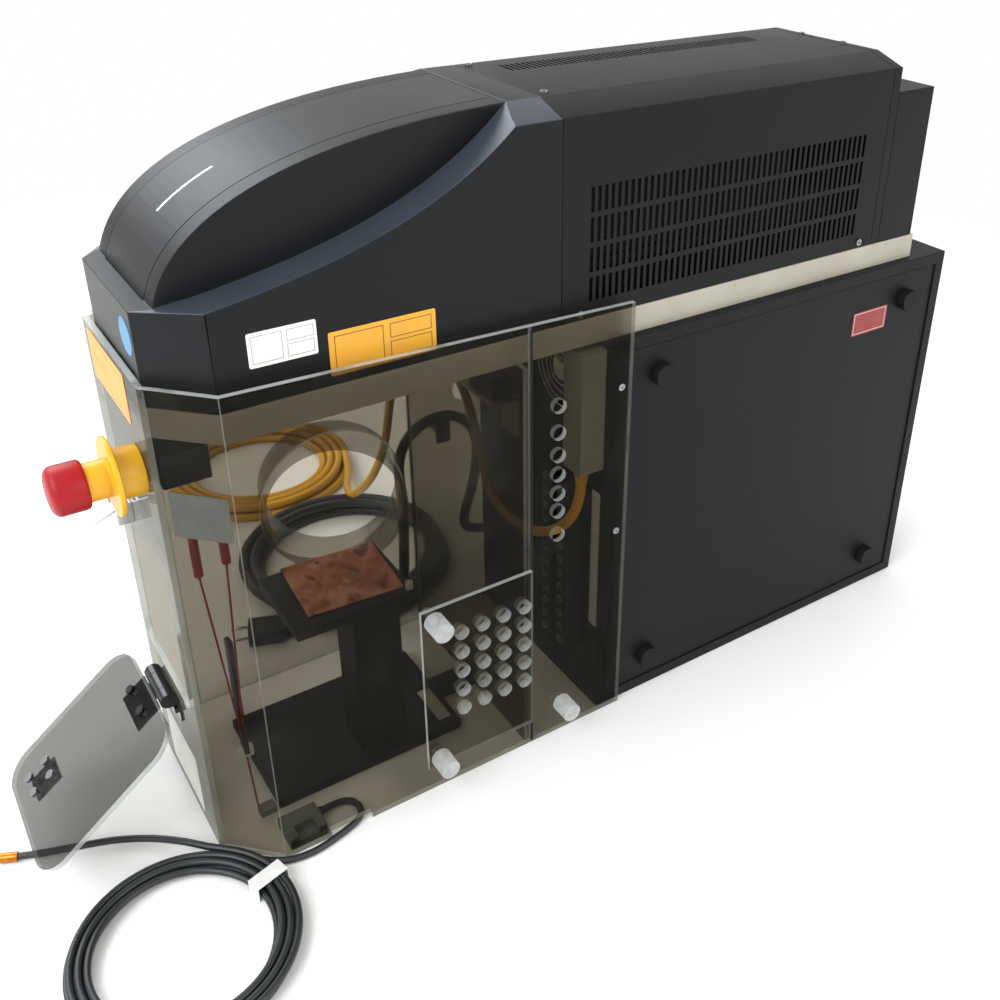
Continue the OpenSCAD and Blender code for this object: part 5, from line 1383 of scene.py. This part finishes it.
    def link_cord(self) -> None:
        """Make the yellow cord."""
        coil, gauge, start = self.link, self.link.diameter, at(*self.link_start)
        sleeve = self.relief("link_relief", start, -UP, (7.6, 5.3, 15.0), CORD_YELLOW,
                             "cord_yellow")
        route = [start, start - 10 * MM * UP] + laid(self.link_way)
        route += [coil.after(s) for s in (1.5 * self.lead, 2 * gauge, gauge)]
        route += coil.path()[::-1] + [coil.before(gauge)]
        self.cord("link_cord", route, coil, CORD_YELLOW, ("link_cable", "link_coil"))

    def feed_cord(self) -> None:
        """Make the heavy cord and its plug."""
        coil, gauge, route = self.feed, self.feed.diameter, laid(self.feed_way)
        sleeve = self.relief("feed_relief", route[0], FARWARD, (8.6, 6.1, 13.0), RUBBER,
                             "cord_black")
        body = self.shop.refined("feed_plug", [GLOSS_BLACK, CHROME], 0.6, self.pins, least=14.0)
        route += [coil.after(gauge)] + coil.path()[::-1] + [coil.before(gauge)]
        self.cord("feed_cord", route, coil, CORD_BLACK, ("feed_cable", "feed_coil"))

    def pins(self, place: Vector, normal: Vector) -> int:
        """Return 1 for a face of the plug's pins and 0 elsewhere."""
        return int((place - self.feed.before(11)).dot(-self.feed.heading()) > 90.5 * MM)


# ---------------------------------------------------------------- sub-assemblies


@dataclass
class Head:
    """The hood, its inlay and light guide, the rear covers, the channel and the screws.

    rounding is the shell's, in millimetres, and screw a head's radius and height. The ledges
    lie ledge_band metres from the middle, under ledge_top; their upward faces take a lighter,
    glossier copy of the hood's black, a painted sheen. Each label's row holds its name, the
    colours of its film and ink, its middle and size in millimetres and its frames.
    """

    shop: Workshop
    repeats: Repeats
    rounding: float = 1.0
    screw: tuple[float, float] = (3.2, 1.6)
    ledge_band: tuple[float, float] = (0.066, 0.0975)
    ledge_top: float = 0.592
    label_corner: float = 1.5
    outline: ClassVar[Frames] = ((0.0, 0.0, 0.93, 0.88),)
    panels: ClassVar[Frames] = (
        (-0.45, 0.0, 0.45, 0.8), (0.52, 0.45, 0.4, 0.34), (0.52, -0.42, 0.4, 0.38),
    )
    label_rows: ClassVar[tuple[tuple, ...]] = (
        ("label_rack", "8a1820", "d8c9bd", (691, -107.2, 340.5), (48, 0.4, 25), outline),
        ("label_hood", "e9e8e3", "8d8f90", (95, -98.7, 460), (50, 0.4, 26), panels),
        ("label_sheet", "e2e1da", "9a9a94", (-0.2, 4, 43), (0.4, 84, 62), panels),
        ("label_foot", "e6e4dc", "a9a79e", (229.5, -27, 10.2), (13, 46, 0.4), outline),
        ("label_strip", "dfddd3", "9b988c", (366.8, -98, 171), (0.4, 12, 150), outline),
        ("label_amber", "e0a01c", "3c2c10", (170.5, -98.7, 443), (85, 0.4, 34), panels),
        ("label_front", "d9981a", "3c2c10", (-0.2, 11, 416), (0.4, 98, 40), panels),
    )
    disc: Profile = ((0, 0), (0, 13.8), (0.15, 14), (0.4, 14), (0.4, 0))

    def make(self) -> None:
        """Make the head's shell."""
        shop = self.shop
        shop.refined("base_channel", [CHANNEL_PAINT], 0.5)
        # The hood's second finish, on the ledges' upward faces, is a painted sheen.
        shop.refined("hood", [HOOD_BLACK, LEDGE_PAINTED_SHEEN], self.rounding, self.ledge, join=0.0)
        shop.refined("arch_panel", [INLAY_BRUSHED], sharp=24, join=0.0)
        # The light guide's finish carries a painted glow.
        shop.refined("light_pipe", [LIGHT_GUIDE_PAINTED_GLOW], 0.3)
        shop.refined("rear_cover", [COVER_BLACK], 0.8, least=200.0)
        shop.refined("rear_cap", [COVER_BLACK], 0.8)
        shop.refined("rear_box", [COVER_BLACK], self.rounding)
        sides = (1, -1)
        spots = [Spot(at(x, s * y, 595.4), UP) for x, y in ((335, 57.8), (691, 27))
                 for s in sides]
        spots += [Spot(at(x, s * 98.5, 424.5), s * FARWARD) for x in (344, 668) for s in sides]
        spots += [Spot(at(378, -113.5, z), -FARWARD) for z in (355.5, 209.4)]
        screws = self.repeats.screws("cover_screws", spots, *self.screw, SCREW_STEEL)
        shop.fit(screws, "small_screws")
        self.labels()

    def ledge(self, place: Vector, normal: Vector) -> int:
        """Return 1 for the ledges' upward faces beside the arch, which take the painted sheen, and
        0 elsewhere.
        """
        inner, outer = self.ledge_band
        aside = inner < abs(place.y) < outer
        return int(aside and place.z < self.ledge_top and normal.z > 0.5)

    def labels(self) -> None:
        """Make the blank labels."""
        shop = self.shop
        for name, colour, ink, middle, size, frames in self.label_rows:
            half = [s / 2 for s in size]
            wide, tall = [i for i in range(3) if size[i] > 1]
            film = Film(
                name, colour, ink, tuple(at(*middle)), (wide, tall),
                (half[wide] * MM, half[tall] * MM), frames,
            )
            low = at(*(m - h for m, h in zip(middle, half)))
            high = at(*(m + h for m, h in zip(middle, half)))
            shop.fit(shop.plate(name, low, high, self.label_corner, film), "blank_labels")
        name = "label_round"
        film = Film(name, "2a7fa6", "dfe6ee", tuple(at(5.8, -42, 466)), (1, 2), (0.014, 0.014))
        disc = shop.turned(name, self.disc, at(5.6, -42, 466), REARWARD, film, sides=48)
        shop.fit(disc, "blank_labels")


@dataclass
class Internals:
    """The laser tube, its driver, the optics, the scan head and its fan.

    hub_share is a fan hub's share of the rotor's radius, blade_share the same for a blade's
    tip, hub_depth the hub's share of the rotor's depth, hub_place how far back its middle is,
    and slack what the rotor is made smaller by, in millimetres. deck is the height in metres up
    to which the driver and the scanner block have their second finish, and glass the height and
    radius in metres within which the lens is glass.
    """

    shop: Workshop
    repeats: Repeats
    hub_share: float = 0.42
    blade_share: float = 0.95
    hub_depth: float = 0.8
    hub_place: float = 0.42
    blade_count: int = 7
    slack: float = 0.2
    deck: float = 0.42
    glass: tuple[float, float] = (0.3755, 0.0322)

    def rotor(self, node: str, frame_node: str) -> None:
        """Make a fan's hub and blades.

        Args:
            node: the CAD node that they stand for.
            frame_node: the node of the frame round it, for its middle.
        """
        shop = self.shop
        spots, rims = ([v.co for v in shop.nodes[n].data.vertices] for n in (node, frame_node))
        front, back = (pick(s.x for s in spots) for pick in (min, max))
        middle = Vector([(min(s[i] for s in rims) + max(s[i] for s in rims)) / 2
                         for i in range(3)])
        middle.x = front + self.hub_place * (back - front)
        tip = max((Vector((0, s.y, s.z)) - Vector((0, middle.y, middle.z))).length
                  for s in spots) / MM - self.slack
        hub, deep = self.hub_share * tip, self.hub_depth * (back - front) / MM
        profile = [(0, 0), (0, hub - 1.2), (0.5, hub - 0.3), (1.4, hub), (deep, hub), (deep, 0)]
        start = middle - Vector((deep / 2 * MM, 0, 0))
        shop.fit(shop.turned(f"{node}_hub", profile, start, REARWARD, BLACK_PLASTIC, sides=40),
                 node)
        blades = self.repeats.blades(
            f"{node}_blades", Spot(middle, REARWARD), self.blade_count, hub - 0.6,
            self.blade_share * tip, BLACK_PLASTIC,
        )
        shop.fit(blades, node)

    def make(self) -> None:
        """Make what is inside the head."""
        shop = self.shop
        shop.refined("laser_tube", [COVER_BLACK], 0.8)
        shop.refined("rf_driver", [COVER_BLACK, BOARD_GREEN], 0.5, self.low)
        shop.refined("optics_bench", [COVER_BLACK], 0.5)
        shop.refined("focus_screw", [SCREW_STEEL])
        shop.refined("focus_carriage", [COVER_BLACK], 0.4, least=12)
        shop.refined("shutter_flag", [COVER_BLACK], 0.2, least=12)
        shop.refined("galvo_block", [COVER_BLACK, ALUMINIUM], 0.7, self.low)
        for node in ("x_mirror", "y_mirror"):
            shop.refined(node, [MIRROR_GOLD], 0.15, least=6)
        shop.refined("scan_lens", [GLOSS_BLACK, LENS_GOLD], 0.6, self.lens)
        shop.refined("head_fan", [BLACK_PLASTIC], 0.5)
        self.rotor("head_rotor", "head_fan")

    def low(self, place: Vector, normal: Vector) -> int:
        """Return 1 for the low faces of the driver and the scanner block and 0 elsewhere."""
        return int(place.z < self.deck)

    def lens(self, place: Vector, normal: Vector) -> int:
        """Return 1 for the lens's glass and 0 elsewhere."""
        height, radius = self.glass
        return int(place.z < height and math.hypot(place.x, place.y) < radius)


@dataclass
class Screen:
    """The clear sheets round the work space, the port, the vent and the pegs.

    joint is where the joints that are sealed lie: how far along, how far from the middle, and
    their lowest and highest point. seal is a seal's width, height and corner. All are in
    millimetres on the drawing. The port's bright ring starts ring_from metres aside.
    """

    shop: Workshop
    joint: tuple[float, float, float, float] = (288.0, 113.5, 2.0, 430.0)
    seal: Place = (2.4, 0.35, 0.15)
    ring_from: float = 0.1135

    def faces(self, node: str, least: float = 0.08) -> Picker:
        """Return a picker that tells a sheet's broad faces from its cut edges.

        Args:
            node: the CAD node.
            least: least share of the node's area that makes a broad face.

        Returns:
            A picker giving 0 for a broad face and 1 for an edge.
        """
        build = bmesh.new()
        build.from_mesh(self.shop.nodes[node].data)
        groups: list[tuple[Vector, list[float]]] = []
        for face in build.faces:
            for main, areas in groups:
                if abs(main.dot(face.normal)) > 0.999:
                    areas.append(face.calc_area())
                    break
            else:
                groups.append((face.normal.copy(), [face.calc_area()]))
        total = sum(sum(areas) for _, areas in groups)
        broad = [main for main, areas in groups if sum(areas) > least * total]
        build.free()
        return lambda place, normal: int(all(abs(m.dot(normal)) < 0.99 for m in broad))

    def make(self) -> None:
        """Make the screen."""
        shop, clear = self.shop, [CLEAR_SHEET, CLEAR_EDGE]
        for node in ("front_wall", "corner_panels", "near_panel", "far_panel", "rear_panels",
                     "bulkhead"):
            shop.refined(node, clear, 0.3, self.faces(node))
        shop.refined("vent_plate", clear, 0.25, self.faces("vent_plate"))
        shop.refined("port_collar", clear, 0.4, self.collar)
        shop.refined("clear_pegs", [CLEAR_KNOB], 0.7, least=6)
        wide, high, corner = self.seal
        along, aside, low, top = self.joint
        for name, side in (("near", -1), ("far", 1)):
            near, far = sorted((side * aside, side * (aside + high)))
            strip = shop.plate(
                f"joint_seal_{name}", at(along - wide / 2, near, low),
                at(along + wide / 2, far, top), corner, RUBBER,
            )
            shop.fix(strip, "foot_rubber")

    def collar(self, place: Vector, normal: Vector) -> int:
        """Return 1 for the port's bright outer ring and 0 elsewhere."""
        outward = abs(normal.x) < 0.7 and abs(normal.y) > 0.6
        return int(place.y > self.ring_from and outward)


@dataclass
class Door:
    """The flap in the front sheet, its hinge and its catch.

    The strike plate's bolts lie before bolts_to, in metres along the frame.
    """

    shop: Workshop
    screen: Screen
    bolts_to: float = -0.245

    def make(self) -> None:
        """Make the door and its hardware."""
        shop = self.shop
        shop.refined("flap", [CLEAR_FLAP, CLEAR_EDGE], 0.5, self.screen.faces("flap"))
        shop.refined("hinge_leaf", [GLOSS_BLACK], 0.35, least=5)
        shop.refined("flap_leaf", [GLOSS_BLACK, SCREW_STEEL], 0.35, self.strike, least=5)
        shop.refined("catch_body", [CHROME], 0.35, least=8)
        shop.refined("catch_lever", [CHROME], 0.35, least=6)

    def strike(self, place: Vector, normal: Vector) -> int:
        """Return 1 for the strike plate's bolts and 0 elsewhere."""
        return int(place.x < self.bolts_to)


@dataclass
class Stop:
    """The stop button: a red mushroom on a yellow neck and flange.

    middle is the mushroom's face on the drawing, head its profile in millimetres from there, and
    sheet_back the back of the sheet, in metres along the frame.
    """

    shop: Workshop
    middle: Place = (-65.0, -42.0, 363.0)
    head: Profile = (
        (0, 0), (0.05, 6), (0.35, 10.5), (1.1, 13.8), (2.4, 16.2), (4.2, 17.8), (6.6, 18.5),
        (23.2, 18.5), (25.0, 18.0), (26, 16.9), (26, 14.9), (16.8, 14.9), (16.8, 5), (74, 5),
        (74, 0),
    )
    sheet_back: float = -0.1535

    def make(self) -> None:
        """Make the button and its body."""
        shop = self.shop
        button = shop.turned("stop_mushroom", self.head, at(*self.middle), REARWARD, STOP_RED,
                             sides=72, sharp=40)
        shop.fit(button, "stop_button")
        shop.refined("stop_body", [STOP_YELLOW, BLACK_PLASTIC], 1.0, self.contacts, sharp=36)

    def contacts(self, place: Vector, normal: Vector) -> int:
        """Return 1 for the contact housing behind the sheet and 0 elsewhere."""
        return int(place.x > self.sheet_back)


@dataclass
class Fixture:
    """The work fixture, its copper plate and the test leads on the screen's corner.

    All is in millimetres on the drawing: the tape's corner, its lowest point and its reach from
    the corner, the middle of the tie and of the strip, and where the plug starts and its top.
    """

    shop: Workshop
    tape_corner: tuple[float, float] = (20.8, -92.7)
    tape_low: float = 317.9
    tape_reach: float = 5.6
    tie: Place = (36.0, -62.0, 84.0)
    plug: tuple[float, float] = (40.8, 7.2)

    def leads(self, place: Vector, normal: Vector) -> int:
        """Return the finish of a face of the leads: 1 tape, 2 tie, 3 strip, 4 plug or 0 wire."""
        x, y, z = drawn(place)
        corner_x, corner_y = self.tape_corner
        if z > self.tape_low and (x - corner_x + y - corner_y) * 0.70711 < self.tape_reach:
            return 1
        out_x, out_y, up = abs(x - self.tie[0]), abs(y - self.tie[1]), z - self.tie[2]
        if out_x < 6.2 and out_y < 3.2 and abs(up) < 4.7:
            return 2
        if out_x < 2.2 and out_y < 5.2 and up > -1.0:
            return 3
        return 4 if x > self.plug[0] and z < self.plug[1] else 0

    def make(self) -> None:
        """Make the fixture."""
        shop = self.shop
        shop.refined("fixture_base", [FIXTURE_BLACK], 0.8)
        shop.refined("fixture_stand", [FIXTURE_BLACK], 0.9)
        shop.refined("work_plate", [COPPER_PATINA], 0.2)
        shop.refined("test_leads", [LEAD_RED, TAPE_GREY, TAPE_WHITE, BLACK_PLASTIC, PLUG_GREY],
                     0.0, self.leads, sharp=40)


@dataclass
class Controller:
    """The controller beside the head: case, front, terminals, fan, key and supply.

    The front's parts are told by places on the drawing, in millimetres: the sheet's front, the
    key ring's middle across, height and radius, the side from which the strip cover reaches, and
    the height and side within which the socket lies. guard_to is how far back the fan's wire
    guard reaches, in metres. The terminals start at strip_low and have screw_rows rows over
    strip_long; screw is a head's radius and height.
    """

    shop: Workshop
    repeats: Repeats
    internals: Internals
    screw_rows: int = 12
    strip_low: float = 60.0
    strip_long: float = 190.0
    screw: tuple[float, float] = (3.8, 1.7)
    sheet_front: float = 366.6
    ring: Place = (60.0, 350.0, 11.6)
    cover_side: float = -79.5
    socket: tuple[float, float] = (287.5, 75.5)
    guard_to: float = 0.2121

    def front(self, place: Vector, normal: Vector) -> int:
        """Return the finish: 0 for the sheet, 1 ring, 2 strip cover, 3 bracket and 4 socket."""
        x, y, z = drawn(place)
        if x > self.sheet_front:
            return 0
        if math.hypot(y - self.ring[0], z - self.ring[1]) < self.ring[2]:
            return 1
        if y < self.cover_side:
            return 2
        return 4 if z > self.socket[0] and y < self.socket[1] else 3

    @staticmethod
    def rim(place: Vector, normal: Vector) -> int:
        """Return 1 for the side plate's edges and 0 for its faces."""
        return int(abs(normal.y) < 0.5)

    def guard(self, place: Vector, normal: Vector) -> int:
        """Return 1 for the fan's wire guard and 0 for its frame."""
        return int(place.x < self.guard_to)

    def make(self) -> None:
        """Make the controller."""
        shop = self.shop
        shop.refined("controller_case", [CASE_BLACK], 1.2)
        shop.refined("controller_side_plate", [CASE_BLACK, CASE_EDGE], 0.5, self.rim)
        shop.refined("controller_feet", [RUBBER], 1.0, least=10)
        front = [COVER_BLACK, CHROME, BEIGE_STEEL, ALUMINIUM, BLACK_PLASTIC]
        shop.refined("controller_front", front, 0.4, self.front)
        shop.refined("terminal_blocks", [BLACK_PLASTIC], 0.4)
        pitch = self.strip_long / self.screw_rows
        spots = [
            Spot(at(349, y, self.strip_low + (i + 0.5) * pitch), -REARWARD)
            for y in (-69.5, -44.5)
            for i in range(self.screw_rows)
        ]
        screws = self.repeats.screws("terminal_screws", spots, *self.screw, SCREW_STEEL)
        shop.fix(screws, "screw_steel")
        shop.refined("controller_fan", [BLACK_PLASTIC, CHROME], 0.5, self.guard)
        self.internals.rotor("controller_rotor", "controller_fan")
        shop.refined("key_switch", [CHROME], 0.3, least=6)
        shop.refined("power_supply", [STEEL_SHEET], 0.8)


def main() -> None:
    """Make the camera, the machine's pieces and the studio."""
    logging.basicConfig(level=logging.INFO, format="%(message)s")
    PhotoCamera().make()
    shop = Workshop()
    repeats = Repeats(shop)
    internals = Internals(shop, repeats)
    screen = Screen(shop)
    for assembly in (
        Cords(shop), Head(shop, repeats), internals, screen, Door(shop, screen), Stop(shop),
        Fixture(shop), Controller(shop, repeats, internals),
    ):
        assembly.make()
        log.info("made %s", type(assembly).__name__)
    Studio().make(shop)
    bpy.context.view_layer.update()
    log.info("%d pieces", shop.count)


if __name__ == "__main__":
    main()
